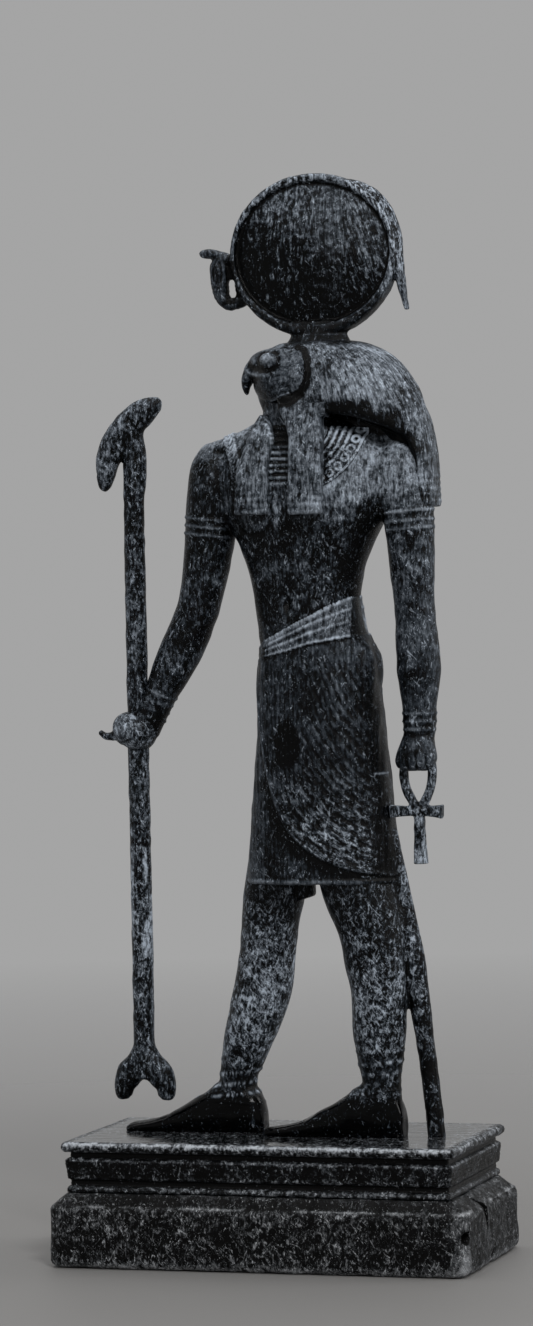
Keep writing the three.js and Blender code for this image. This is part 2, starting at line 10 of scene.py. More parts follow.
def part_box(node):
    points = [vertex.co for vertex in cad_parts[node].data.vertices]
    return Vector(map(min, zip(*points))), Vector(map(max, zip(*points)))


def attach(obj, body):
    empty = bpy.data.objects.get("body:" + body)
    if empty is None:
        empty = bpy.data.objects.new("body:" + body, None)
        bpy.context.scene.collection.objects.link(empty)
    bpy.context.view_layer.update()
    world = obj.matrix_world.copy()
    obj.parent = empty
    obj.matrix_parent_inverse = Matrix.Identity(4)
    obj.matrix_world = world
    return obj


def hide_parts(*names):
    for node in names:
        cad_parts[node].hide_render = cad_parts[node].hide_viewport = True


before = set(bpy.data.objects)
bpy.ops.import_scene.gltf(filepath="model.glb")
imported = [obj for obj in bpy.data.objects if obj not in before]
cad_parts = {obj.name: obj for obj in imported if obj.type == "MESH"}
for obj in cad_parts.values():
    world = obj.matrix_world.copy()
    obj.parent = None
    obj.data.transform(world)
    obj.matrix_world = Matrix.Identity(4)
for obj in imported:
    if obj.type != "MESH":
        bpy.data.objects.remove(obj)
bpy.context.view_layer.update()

MM = 0.001


def node_box(node):
    """The lowest and the highest corner of a node, in millimetres."""
    return [np.round(np.array(corner) / MM, 3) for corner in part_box(node)]


# Shapes are in millimetres above the sole
SOLE = node_box("figure")[0][2]


# Number helpers

LATTICE = 32


def step(low, high, value):
    """Rises smoothly from 0 at low to 1 at high."""
    t = np.clip((value - low) / (high - low), 0, 1)
    return t * t * (3 - 2 * t)


def band(value, start, end, soft):
    return step(start - soft, start + soft, value) * (1 - step(end - soft, end + soft, value))


def line(distance, width):
    return np.exp(-(distance / width) ** 2)


def wave(value, pitch):
    return 0.5 + 0.5 * np.cos(2 * np.pi * value / pitch)


def spot(x, z, centre, radii=(1, 1)):
    """How far a place is from a centre in XZ, counted in radii."""
    return np.hypot((x - centre[0]) / radii[0], (z - centre[1]) / radii[1])


def noise(points, size, seed):
    """Smooth values between 0 and 1 that change over about size."""
    grid = np.random.default_rng(seed).random((LATTICE, LATTICE, LATTICE))
    place = points / size
    base = np.floor(place).astype(int)
    part = place - base
    part = part * part * (3 - 2 * part)
    total = np.zeros(len(points))
    for corner in range(8):
        offset = np.array([(corner >> axis) & 1 for axis in range(3)])
        index = (base + offset) % LATTICE
        share = np.prod(np.where(offset, part, 1 - part), axis=1)
        total += share * grid[index[:, 0], index[:, 1], index[:, 2]]
    return total


def to_path(x, z, path):
    """The distance to a path in XZ, and the length along it."""
    best = np.full(len(x), 1e9)
    along = np.zeros(len(x))
    done = 0.0
    for (x0, z0), (x1, z1) in zip(path[:-1], path[1:]):
        dx, dz = x1 - x0, z1 - z0
        length = math.hypot(dx, dz)
        t = np.clip(((x - x0) * dx + (z - z0) * dz) / length ** 2, 0, 1)
        gap = np.hypot(x - x0 - t * dx, z - z0 - t * dz)
        along = np.where(gap < best, done + t * length, along)
        best = np.minimum(best, gap)
        done += length
    return best, along


def gap_to(x, z, *path):
    return to_path(x, z, path)[0]


# Closed shapes

def smooth(rows, steps):
    """Fills in rows between the given ones, without overshoot."""
    rows = np.array(rows, float)
    gaps = np.diff(rows, axis=0)
    slope = np.zeros_like(rows)
    slope[0], slope[-1] = gaps[0], gaps[-1]
    product = gaps[:-1] * gaps[1:]
    total = gaps[:-1] + gaps[1:]
    slope[1:-1] = np.where(product > 0, 2 * product / np.where(total == 0, 1, total), 0)
    t = (np.arange(steps) / steps)[:, None]
    result = []
    for start, end, leave, arrive in zip(rows[:-1], rows[1:], slope[:-1], slope[1:]):
        cubic = 2 * (start - end) + leave + arrive
        square = 3 * (end - start) - 2 * leave - arrive
        result.append(cubic * t ** 3 + square * t ** 2 + leave * t + start)
    return np.concatenate(result + [rows[-1:]])


def circle(sides):
    angle = np.arange(sides) * 2 * np.pi / sides
    return np.cos(angle), np.sin(angle)


def oval(sides, power):
    return [np.sign(value) * np.abs(value) ** (2 / power) for value in circle(sides)]


def closed(rings):
    """Joins rings of points into one closed skin."""
    rings = np.asarray(rings, float)
    count, sides = rings.shape[:2]
    faces = []
    for ring in range(count - 1):
        for side in range(sides):
            here, following = ring * sides + side, ring * sides + (side + 1) % sides
            faces.append((here, following, following + sides, here + sides))
    faces.append(tuple(range(sides - 1, -1, -1)))
    faces.append(tuple((count - 1) * sides + side for side in range(sides)))
    return rings.reshape(-1, 3), faces


def stack(rows, sides=64, power=2, steps=8):
    """Level sections. A row is x, y, z, half-width, half-depth and, if given, the rise of the +X edge."""
    u, v = oval(sides, power)
    full = smooth([list(row) + [0] * (6 - len(row)) for row in rows], steps)
    return closed([np.stack([x + u * a, y + v * b, z + u * rise], axis=1) for x, y, z, a, b, rise in full])


def limb(rows, sides=40, power=2, steps=8):
    """Sections square to a path seen from the front. A row is x, y, z, half-width, half-depth."""
    u, v = oval(sides, power)
    path = smooth(rows, steps)
    rings = []
    for index, (x, y, z, a, b) in enumerate(path):
        before, after = path[max(index - 1, 0)], path[min(index + 1, len(path) - 1)]
        dx, dz = after[0] - before[0], after[2] - before[2]
        length = math.hypot(dx, dz)
        rings.append(np.stack([x + u * a * dz / length, y + v * b, z - u * a * dx / length], axis=1))
    return closed(rings)


def footprint(rows, sides=48, power=2.4, steps=6):
    """Sections square to X, flat below. A row is x, y, half-width, height."""
    u, v = oval(sides, power)
    rings = []
    for x, y, half, height in smooth(rows, steps):
        raw = height * (0.4 + 0.6 * v)
        rings.append(np.stack([np.full(sides, x), y + u * half, np.where(raw > 0, raw, -0.8)], axis=1))
    return closed(rings)


def ball(centre, radii, sides=40):
    u, v = circle(sides)
    rings = []
    for angle in np.pi * np.arange(1, sides // 2) / (sides // 2):
        ring = np.stack([np.sin(angle) * u, np.sin(angle) * v, np.full(sides, -np.cos(angle))], axis=1)
        rings.append(ring * radii + np.array(centre))
    return closed(rings)


def turned(profile, centre, sides=96):
    """A closed disc about an axis along Y. A profile point is radius, depth."""
    u, v = circle(sides)
    return closed([np.stack([centre[0] + max(radius, 0.05) * u, np.full(sides, depth),
                             centre[1] + max(radius, 0.05) * v], axis=1) for radius, depth in profile])


# Casting: closed shapes become one smooth skin

def raw_mesh(name, shapes):
    points, faces, base = [], [], 0
    for shape_points, shape_faces in shapes:
        points.append(shape_points)
        faces += [tuple(base + index for index in face) for face in shape_faces]
        base += len(shape_points)
    mesh = bpy.data.meshes.new(name)
    mesh.from_pydata(np.concatenate(points).tolist(), [], faces)
    obj = bpy.data.objects.new(name, mesh)
    bpy.context.scene.collection.objects.link(obj)
    return obj


def applied(obj):
    bpy.context.view_layer.update()
    graph = bpy.context.evaluated_depsgraph_get()
    mesh = bpy.data.meshes.new_from_object(obj.evaluated_get(graph))
    obj.modifiers.clear()
    old = obj.data
    obj.data = mesh
    bpy.data.meshes.remove(old)


def without(shape, *cutters):
    """A shape with others cut out of it."""
    obj = raw_mesh("shape", [shape])
    for cut in cutters:
        cutter = raw_mesh("cutter", [cut])
        modifier = obj.modifiers.new("cut", "BOOLEAN")
        modifier.operation = "DIFFERENCE"
        modifier.solver = "EXACT"
        modifier.object = cutter
        applied(obj)
        bpy.data.objects.remove(cutter)
    points = np.array([vertex.co[:] for vertex in obj.data.vertices])
    faces = [tuple(face.vertices) for face in obj.data.polygons]
    bpy.data.objects.remove(obj)
    return points, faces


class Skin:
    """A voxel skin over closed shapes, held as arrays while it is carved."""

    def __init__(self, name, shapes, voxel=None):
        self.obj = raw_mesh(name, shapes)
        if voxel:
            modifier = self.obj.modifiers.new("skin", "REMESH")
            modifier.mode = "VOXEL"
            modifier.voxel_size = voxel
            applied(self.obj)
        self.mesh = self.obj.data
        count = len(self.mesh.vertices)
        flat = np.zeros(count * 3, np.float32)
        self.mesh.vertices.foreach_get("co", flat)
        self.points = flat.reshape(-1, 3).astype(float)
        edges = np.zeros(len(self.mesh.edges) * 2, np.int32)
        self.mesh.edges.foreach_get("vertices", edges)
        self.edges = edges.reshape(-1, 2)
        self.degree = np.bincount(edges, minlength=count)
        self.grit = np.ones(count)
        self.dabs = np.full(count, 0.15)
        self.gloss = np.zeros(count)
        self.pale = None
        self.grain = None

    def write(self):
        self.mesh.vertices.foreach_set("co", self.points.astype(np.float32).ravel())
        self.mesh.update()

    def around(self, values):
        """The mean of each point's neighbours."""
        a, b = self.edges.T
        total = np.stack([np.bincount(a, column[b], len(values)) + np.bincount(b, column[a], len(values))
                          for column in values.T], axis=1)
        return total / self.degree[:, None]

    def relax(self, rounds, share=0.5, weight=1.0, keep=True):
        """Smooths the points. keep holds the volume."""
        weight = np.broadcast_to(weight, len(self.points))[:, None]
        for turn in range(rounds):
            amount = share if not keep or turn % 2 == 0 else -share * 1.04
            self.points = self.points + (self.around(self.points) - self.points) * amount * weight

    def blend(self, spots, rounds=60):
        """Melts the creases near each spot, given as centre and radius."""
        weight = np.zeros(len(self.points))
        for x, y, z, radius in spots:
            gap = np.linalg.norm(self.points - np.array([x, y, z]), axis=1)
            weight = np.maximum(weight, 1 - step(radius * 0.4, radius, gap))
        self.relax(rounds, 0.6, weight, keep=False)

    def normals(self):
        self.write()
        flat = np.zeros(len(self.points) * 3, np.float32)
        self.mesh.vertex_normals.foreach_get("vector", flat)
        return flat.reshape(-1, 3).astype(float)

    def survey(self):
        """Where the points are, and their normals."""
        return *self.points.T, self.normals()

    def push(self, amount, normals=None):
        normals = self.normals() if normals is None else normals
        self.points = self.points + normals * np.asarray(amount)[:, None]

    def edge(self, rounds=6):
        """Above 0 on edges and below 0 in hollows, in tenths of a millimetre."""
        soft = self.points
        for _ in range(rounds):
            soft = self.around(soft)
        return np.einsum("ij,ij->i", self.points - soft, self.normals()) * 10

    def noise(self, size, seed, upright=1):
        """Smooth values between 0 and 1. They are drawn out along Z where upright is under 1."""
        return noise(self.points * [1, 1, upright], size, seed)

    def lumps(self, amount, size, seed):
        self.push((self.noise(size, seed) - 0.5) * amount)

    def finish(self, material, nodes, slot="dark_casting"):
        edge = np.clip(self.edge(), -1.5, 1.5)
        self.pale = self.pale + np.where(edge > 0, 0.022, 0.04) * edge
        self.points = (self.points + np.array([0, 0, SOLE])) * MM
        self.write()
        dress(self.obj, material, nodes, slot, self.grain, self.pale, self.grit, self.dabs, self.gloss)
        return self.obj


def dress(obj, material, nodes, slot, grain, *wear):
    """Gives an object what its material reads, the material, and its place in the model."""
    grain_data = obj.data.attributes.new("grain", "FLOAT_VECTOR", "POINT")
    grain_data.data.foreach_set("vector", np.asarray(grain, np.float32).ravel())
    for name, values in zip(("pale", "grit", "dabs", "gloss"), wear):
        attribute = obj.data.attributes.new(name, "FLOAT", "POINT")
        attribute.data.foreach_set("value", np.asarray(values, np.float32))
    obj.data.materials.clear()
    obj.data.materials.append(material)
    obj.data.shade_smooth()
    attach(obj, "root")
    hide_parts(*nodes)


# Materials

class Tree:
    """A material's node tree, built by short calls that return output sockets."""

    def __init__(self, name):
        self.material = bpy.data.materials.new(name)
        self.material.use_nodes = True
        self.tree = self.material.node_tree
        self.shader = self.tree.nodes["Principled BSDF"]

    def node(self, kind, **settings):
        made = self.tree.nodes.new("ShaderNode" + kind)
        for key, value in settings.items():
            setattr(made, key, value)
        return made

    def wire(self, value, socket):
        if hasattr(value, "is_linked"):
            self.tree.links.new(value, socket)
        else:
            socket.default_value = value

    def attribute(self, name, output="Fac"):
        return self.node("Attribute", attribute_name=name).outputs[output]

    def maths(self, operation, first, second, third=None):
        made = self.node("Math", operation=operation)
        self.wire(first, made.inputs[0])
        self.wire(second, made.inputs[1])
        if third is not None:
            self.wire(third, made.inputs[2])
        return made.outputs[0]

    def times(self, first, second):
        return self.maths("MULTIPLY", first, second)

    def scaled(self, vector, factors):
        made = self.node("VectorMath", operation="MULTIPLY")
        self.wire(vector, made.inputs[0])
        made.inputs[1].default_value = factors
        return made.outputs[0]

    def noise(self, vector, *settings):
        """The settings are scale, detail, roughness and distortion."""
        made = self.node("TexNoise")
        self.wire(vector, made.inputs["Vector"])
        for key, number in zip(("Scale", "Detail", "Roughness", "Distortion"), settings):
            made.inputs[key].default_value = number
        return made.outputs["Fac"]

    def ramp(self, value, low, high, start=0.0, end=1.0):
        made = self.node("MapRange", clamp=True)
        self.wire(value, made.inputs["Value"])
        for key, number in (("From Min", low), ("From Max", high), ("To Min", start), ("To Max", end)):
            made.inputs[key].default_value = number
        return made.outputs[0]

    def centred(self, value, factor):
        """How far a noise is from its middle, times a factor."""
        return self.maths("MULTIPLY_ADD", value, factor, -0.5 * factor)

    def sum(self, *values):
        total = values[0]
        for value in values[1:]:
            total = self.maths("ADD", total, value)
        return total

    def gradient(self, value, stops):
        made = self.node("ValToRGB")
        self.wire(value, made.inputs[0])
        elements = made.color_ramp.elements
        while len(elements) < len(stops):
            elements.new(1.0)
        for element, (position, colour) in zip(elements, stops):
            element.position = position
            element.color = colour
        return made.outputs[0]

    def turned_about_y(self, vector, angle):
        made = self.node("VectorRotate", rotation_type="Y_AXIS")
        self.wire(vector, made.inputs["Vector"])
        made.inputs["Angle"].default_value = angle
        return made.outputs[0]

    def mix(self, share, first, second):
        made = self.node("Mix", data_type="RGBA")
        for index, value in ((0, share), (6, first), (7, second)):
            self.wire(value, made.inputs[index])
        return made.outputs[2]


# How light the surface is, on a scale of 255, at rising wear
FILM = ((0.415, 5), (0.44, 11), (0.47, 31), (0.5, 54), (0.53, 76), (0.56, 97), (0.6, 120), (0.65, 148),
        (0.72, 186))
FLECK_LIGHTNESS = 185


def tone(level, blue):
    """A grey of that lightness. A higher blue makes it cooler."""
    value = (level / 255) ** 2.2
    cool = blue * (1 + 1.7 * max(0, 1 - level / 90))
    return value * (1 - 0.13 * cool), value, value * (1 + 0.17 * cool), 1


def casting(name, blue, coat_roughness, specular, fleck_start):
    """A dark coat worn to a pale film. The mesh says how: pale is the mean wear, grit is how far it varies,
    dabs is how thickly short strokes cover it, gloss is how smooth it is, and grain is where a point lies
    in the streaks."""
    t = Tree(name)
    pale, grit, dabs, gloss = [t.attribute(key) for key in ("pale", "grit", "dabs", "gloss")]
    grain = t.attribute("grain", "Vector")
    place = t.scaled(t.node("TexCoord").outputs["Object"], (1 / MM, 1 / MM, 1 / MM))
    streak = t.noise(grain, 1.5, 6, 0.62, 0.2)
    blotch = t.noise(place, 0.6, 7, 0.64, 0.25)
    fibre = t.noise(grain, 4.2, 4, 0.7, 0.4)
    small = t.noise(t.scaled(place, (1, 1, 0.6)), 1.9, 3, 0.6, 1.2)
    uneven = t.sum(t.centred(streak, 0.68), t.centred(blotch, 0.62), t.centred(fibre, 0.3))
    strokes = short_strokes(t, place, dabs)
    wear = t.sum(t.maths("MULTIPLY_ADD", uneven, grit, pale), t.times(strokes, 0.125))
    flecks = t.ramp(t.maths("MULTIPLY_ADD", wear, 0.3, small), fleck_start, fleck_start + 0.035)
    colour = t.gradient(wear, [(position, tone(level, blue)) for position, level in FILM])
    colour = t.mix(t.times(flecks, 0.8), colour, tone(FLECK_LIGHTNESS, blue))
    rough = t.sum(t.times(t.ramp(wear, 0.46, 0.56), 0.2), t.centred(fibre, 0.2), t.times(gloss, -0.3))
    rough = t.maths("ADD", rough, coat_roughness)
    height = t.sum(t.times(small, 0.4), t.times(fibre, 0.5), t.times(streak, 0.5), t.times(strokes, 0.12))
    bump = t.node("Bump")
    bump.inputs["Distance"].default_value = 0.5 * MM
    t.wire(t.ramp(gloss, 0, 1, 0.62, 0.05), bump.inputs["Strength"])
    t.wire(height, bump.inputs["Height"])
    t.wire(colour, t.shader.inputs["Base Color"])
    t.wire(t.ramp(rough, 0.08, 0.9, 0.08, 0.9), t.shader.inputs["Roughness"])
    t.wire(bump.outputs[0], t.shader.inputs["Normal"])
    t.shader.inputs["Specular IOR Level"].default_value = specular
    return t.material


def short_strokes(t, place, dabs):
    """Pale strokes leaning two ways. Where dabs is higher there are more of them."""
    drawn = [t.noise(t.scaled(t.turned_about_y(place, angle), (1, 0.8, 0.34)), 0.9, 3, 0.6, 1.3)
             for angle in (0.75, -0.35)]
    drawn = t.maths("MAXIMUM", *drawn)
    return t.ramp(t.sum(drawn, t.maths("MULTIPLY_ADD", dabs, 0.1, -0.1)), 0.555, 0.6)


figure_coat = casting("figure_coat", 0.95, 0.34, 0.12, 0.8)
plinth_coat = casting("plinth_coat", 0.5, 0.34, 0.12, 0.79)
plinth_gloss = casting("plinth_gloss", 0.5, 0.34, 0.6, 0.79)
block_coat = casting("block_coat", 0.3, 0.5, 0.12, 0.78)


# The sun disc, its serpent and the stem

DISC = (13.5, 243.3)
DISC_FACE = (21.8, 19.2)
HOOD = (-13.9, 238.6)


def oval_disc(rows, sides=144):
    """An upright oval disc, deeper at the foot of its ring. A row is depth, half-width, half-height."""
    u, v = circle(sides)
    rings = []
    for depth, wide, high in rows:
        reach = np.where(v < 0, high + 1.1 * step(19.5, 21.5, high), high)
        rings.append(np.stack([DISC[0] + wide * u, np.full(sides, depth), DISC[1] + reach * v], axis=1))
    return closed(rings)


def disc_shapes():
    """A domed disc in a round rim, on a waisted stem."""
    shares = np.linspace(0.01, 0.985, 14)
    near = [(-1.9 - 3.5 * (1 - share ** 2.2), 21.84 * share, 19.2 * share) for share in shares]
    near += [(-1.5, 21.9, 19.25), (-1.9, 22.0, 19.45), (-2.8, 22.15, 19.7), (-3.35, 22.5, 20.2),
             (-3.5, 23, 20.9), (-3.1, 23.5, 21.6), (-2.2, 23.75, 21.95), (-1, 23.8, 22)]
    profile = near + [(-depth, wide, high) for depth, wide, high in reversed(near)]
    stem = stack([[14, 0, 215, 12, 7], [14.2, 0, 218, 9.8, 5.4], [14.4, 0, 220, 8.3, 4.4],
                  [14.4, 0, 221, 8, 3.8], [14.2, 0, 222.4, 9.6, 3.5], [13.8, 0, 224.6, 13, 3.2]])
    return [oval_disc(profile), stem]


def serpent_shapes():
    """The rearing head and hood in front of the disc, and the tail that lies over its back edge."""
    body = limb([[-5, 0, 233.2, 2.4, 1.8], [-8, 0, 230.9, 1.9, 1.8], [-11, 0, 230.1, 1.75, 1.9],
                 [-13.3, 0, 232.3, 2.1, 2.4], [-14, 0, 236, 2.5, 2.9], [-14.1, 0, 240, 2.7, 2.9],
                 [-13.4, 0, 243, 2, 2.2]])
    neck = limb([[-8.6, 0, 241.6, 1.7, 2.2], [-11.4, 0, 242.6, 1.6, 2], [-14.2, 0, 243.7, 1.4, 1.9],
                 [-17, 0, 244.3, 1.45, 1.9], [-19, 0, 244.3, 1, 1.2], [-19.6, 0, 244.2, 0.5, 0.7]])
    web = stack([[-10.3, 0, 236.9, 1.5, 1.1], [-10.4, 0, 242, 2.4, 1.1]], 32)
    inner_web = limb([[-7.4, 0, 231, 1.4, 1.3], [-8.5, 0, 234, 1.1, 1.2], [-8.9, 0, 238.4, 1.1, 1.1]], 24)
    strip = limb([[22, 0.6, 262.9, 0.7, 2.2], [24.6, 0.6, 262.1, 1.2, 2.4], [29.8, 0.6, 259.3, 1.7, 2.6],
                  [34, 0.6, 254.4, 1.8, 2.6], [36.4, 0.8, 247.5, 1.8, 2.5], [37.1, 1, 241.5, 1.5, 2.3],
                  [37.5, 1.2, 236.5, 1.4, 2.1], [38.3, 1.4, 231.5, 1, 1.6], [39.3, 1.5, 227, 0.6, 1]])
    return [body, neck, web, inner_web, strip]


def sun_disc():
    skin = Skin("sun_disc", disc_shapes() + serpent_shapes(), 0.37)
    skin.blend([(-8.8, 0, 242, 2.4), (-6.5, 0, 231.5, 2.6), (14, 0, 218.5, 5)], 24)
    skin.relax(4)
    x, y, z, normals = skin.survey()
    facing = np.abs(normals[:, 1])
    over_face = spot(x, z, DISC, DISC_FACE)
    face = (over_face < 0.99) & (facing > 0.3)
    cobra = (x < -8.9) & (z > 226) & (z < 247)
    hood = cobra & (z < 242) & (x > -16) & (x < -11.6)
    push = -0.32 * hood * (facing > 0.4) * line(spot(x, z, HOOD, (1, 2.3)) - 1.3, 0.35)
    push += 0.3 * line(spot(x, z, (-16.2, 245)), 0.7) * (np.abs(y) > 0.9) * cobra
    push += 0.1 * cobra * (z < 236) * (wave(z + 0.5 * x, 1.2) - 0.5)
    skin.push(push, normals)
    skin.lumps(0.2, 2.4, 1)
    skin.lumps(0.12, 0.9, 30)
    # The upper face is paler, in drips that lean outwards
    upper = step(-9, 13, (z - DISC[1]) + 0.45 * (x - DISC[0]))
    leaning = skin.points + np.stack([0.3 * z * step(14, 24, x), 0 * x, 0 * x], axis=1)
    drips = noise(leaning * [1, 1, 0.16], 1.9, 4)
    skin.pale = np.where(face, 0.39 + upper * (0.06 + 0.12 * drips), 0.48)
    ring = ~face & (over_face > 0.99) & ~cobra & (z > 221)
    top = step(-10, 12, z - DISC[1] + 0.3 * (x - DISC[0]))
    skin.pale = np.where(ring, 0.42 + 0.08 * top, skin.pale)
    # A painted highlight: a thin pale line round the ring's lower half
    skin.pale += 0.06 * ring * line(over_face - 1.045, 0.014) * (1 - top)
    skin.pale = np.where(ring & (x > 33) & (z < 246), 0.52, skin.pale)
    # Painted shade: a dark line just inside the ring, where its lip shades the face
    skin.pale -= 0.14 * line(over_face - 1.0, 0.022) * (facing > 0.2) * (np.abs(y) < 3)
    # The stem is painted black, as shade under the disc
    skin.pale = np.where(z < 220.6, 0.41, skin.pale)
    skin.pale = np.where(cobra, 0.47 - 0.04 * line(spot(x, z, HOOD, (1, 2)), 1.2), skin.pale)
    # Painted shade: black between the hood and the disc's rim
    skin.pale = np.where((x > -11.9) & (x < -8.8) & (z < 242) & (z > 230), 0.38, skin.pale)
    skin.grain = leaning * np.array([1, 1, 0.17])
    skin.grit = np.where(cobra, 0.5, np.where(face, 0.9, 0.6 + 0.8 * top))
    skin.dabs = np.where(cobra, 0, np.where(face, 0.04 + 0.1 * upper, 0.1 + 0.35 * top))
    skin.gloss = np.where(face, 0.5 * (1 - upper), 0.1)
    return skin.finish(figure_coat, ["figure"])


# The head: falcon face, wig, throat and lappets

FACE = (6.1, 208.9)
FACE_ROUND = 8.5
PLATE = (6.1, 209.8)
EYE = (2.1, 213.9)
EYE_RADII = (2.4, 1.9, 2)
# Paths as x and z: the groove round the face, the wig's back edge and its brink above the shoulder
GROOVE = [(10.6, 217.3), (12.8, 216.2), (14.1, 213.6), (14.5, 210.4), (13.9, 207.2), (12.2, 204.6),
          (9.3, 202.9), (5.4, 201.9), (2.7, 201.5)]
WIG_EDGE = [(46.9, 172.5), (46.7, 180), (46.2, 187), (44.9, 194), (42.6, 200.4), (39.8, 206.2), (37, 210.4),
            (33.4, 214.2), (29.2, 217.2), (22, 219.5)]
WIG_BRINK = [(14, 200), (18, 199.8), (27.4, 199.2), (35, 196.2), (40.3, 193.4), (43, 187.4)]


def wig_shapes():
    """The cap and the near lappet, both cut away round the face, the fall behind and the far lappet."""
    cap = stack([[25.7, 0, 195, 15.6, 9, -6.2], [26, 0, 197, 18.2, 12, -4.8],
                 [25.4, 0, 200, 19.2, 12.7, -2.6], [23.9, 0, 203, 19.6, 13, -0.8], [22, 0, 206, 20, 13],
                 [20.2, 0, 209.5, 19.6, 12.8], [18.4, 0, 213, 18.6, 11.8], [16.4, 0, 216, 16.6, 9.8],
                 [14.9, 0, 218.6, 11.6, 6.6], [14.6, 0, 219.2, 6, 3]], power=2.2)
    near = stack([[11.4, -7.8, 204, 6.6, 3], [11.3, -8.6, 200.6, 6.2, 3], [12.4, -9.4, 196.6, 5.2, 3],
                  [13.2, -10.6, 192, 4.7, 3], [13.3, -12, 183, 4.7, 2.8], [13.2, -12.3, 171.8, 5, 2.6],
                  [13.2, -12.3, 171.2, 4.8, 2.2]], power=5)
    rounds = [turned([(0, start), (FACE_ROUND, start), (FACE_ROUND, end), (0, end)], FACE)
              for start, end in ((-24, -6.3), (6.3, 24))]
    fall = stack([[28.5, 2.6, 206, 11, 9.5], [33.2, 2.6, 199.5, 10.4, 9.8], [37.6, 2.8, 192.5, 8, 9.6],
                  [40.6, 3, 186, 5.8, 9.2], [41.8, 3, 180, 4.8, 8.8], [42.2, 3, 173.4, 4.6, 8.4],
                  [42.2, 3, 172.9, 4.2, 8]], power=2.6)
    far = stack([[-0.2, -5.4, 199, 1, 2], [0, -6.8, 196.4, 2.3, 2.6], [0, -8.2, 193, 3.3, 2.9],
                 [-1.4, -10, 187, 4.1, 2.8], [-2.1, -11.2, 182, 4.5, 2.7], [-2.2, -12, 172, 4.8, 2.5],
                 [-2.2, -12, 171.4, 4.5, 2.1]], power=5)
    return [without(cap, *rounds), without(near, *rounds), fall, far]


def face_shapes():
    skull = ball([6.4, 0, 209.3], [11.2, 10.9, 9.6], 64)
    brow = ball([0.2, 0, 213], [6.3, 6, 4.3], 48)
    half = [(0, -10.8), (3, -10.6), (5.4, -9.9), (7, -8.6), (7.7, -7)]
    plate = turned(half + [(radius, -depth) for radius, depth in reversed(half)], PLATE)
    beak = limb([[-0.6, 0, 212.2, 4.2, 4.8], [-3.8, 0, 212, 3.2, 3.8], [-5.7, 0, 210.3, 2.2, 2.7],
                 [-6.6, 0, 208.6, 1.7, 2], [-6.95, 0, 207, 1.2, 1.3], [-6.85, 0, 205.8, 0.85, 0.9],
                 [-6.5, 0, 204.9, 0.45, 0.5]], steps=6)
    throat = stack([[2.6, 0, 209.5, 6.2, 4.2], [3.2, 0, 207.4, 7.4, 4.8], [3.9, 0, 203, 7, 5.4],
                    [4.8, 0, 199.4, 6.5, 6], [8.6, 0, 189, 7.8, 7]])
    eyes = [ball([EYE[0], side * 8.8, EYE[1]], EYE_RADII) for side in (-1, 1)]
    return [skull, brow, plate, beak, throat, *eyes]


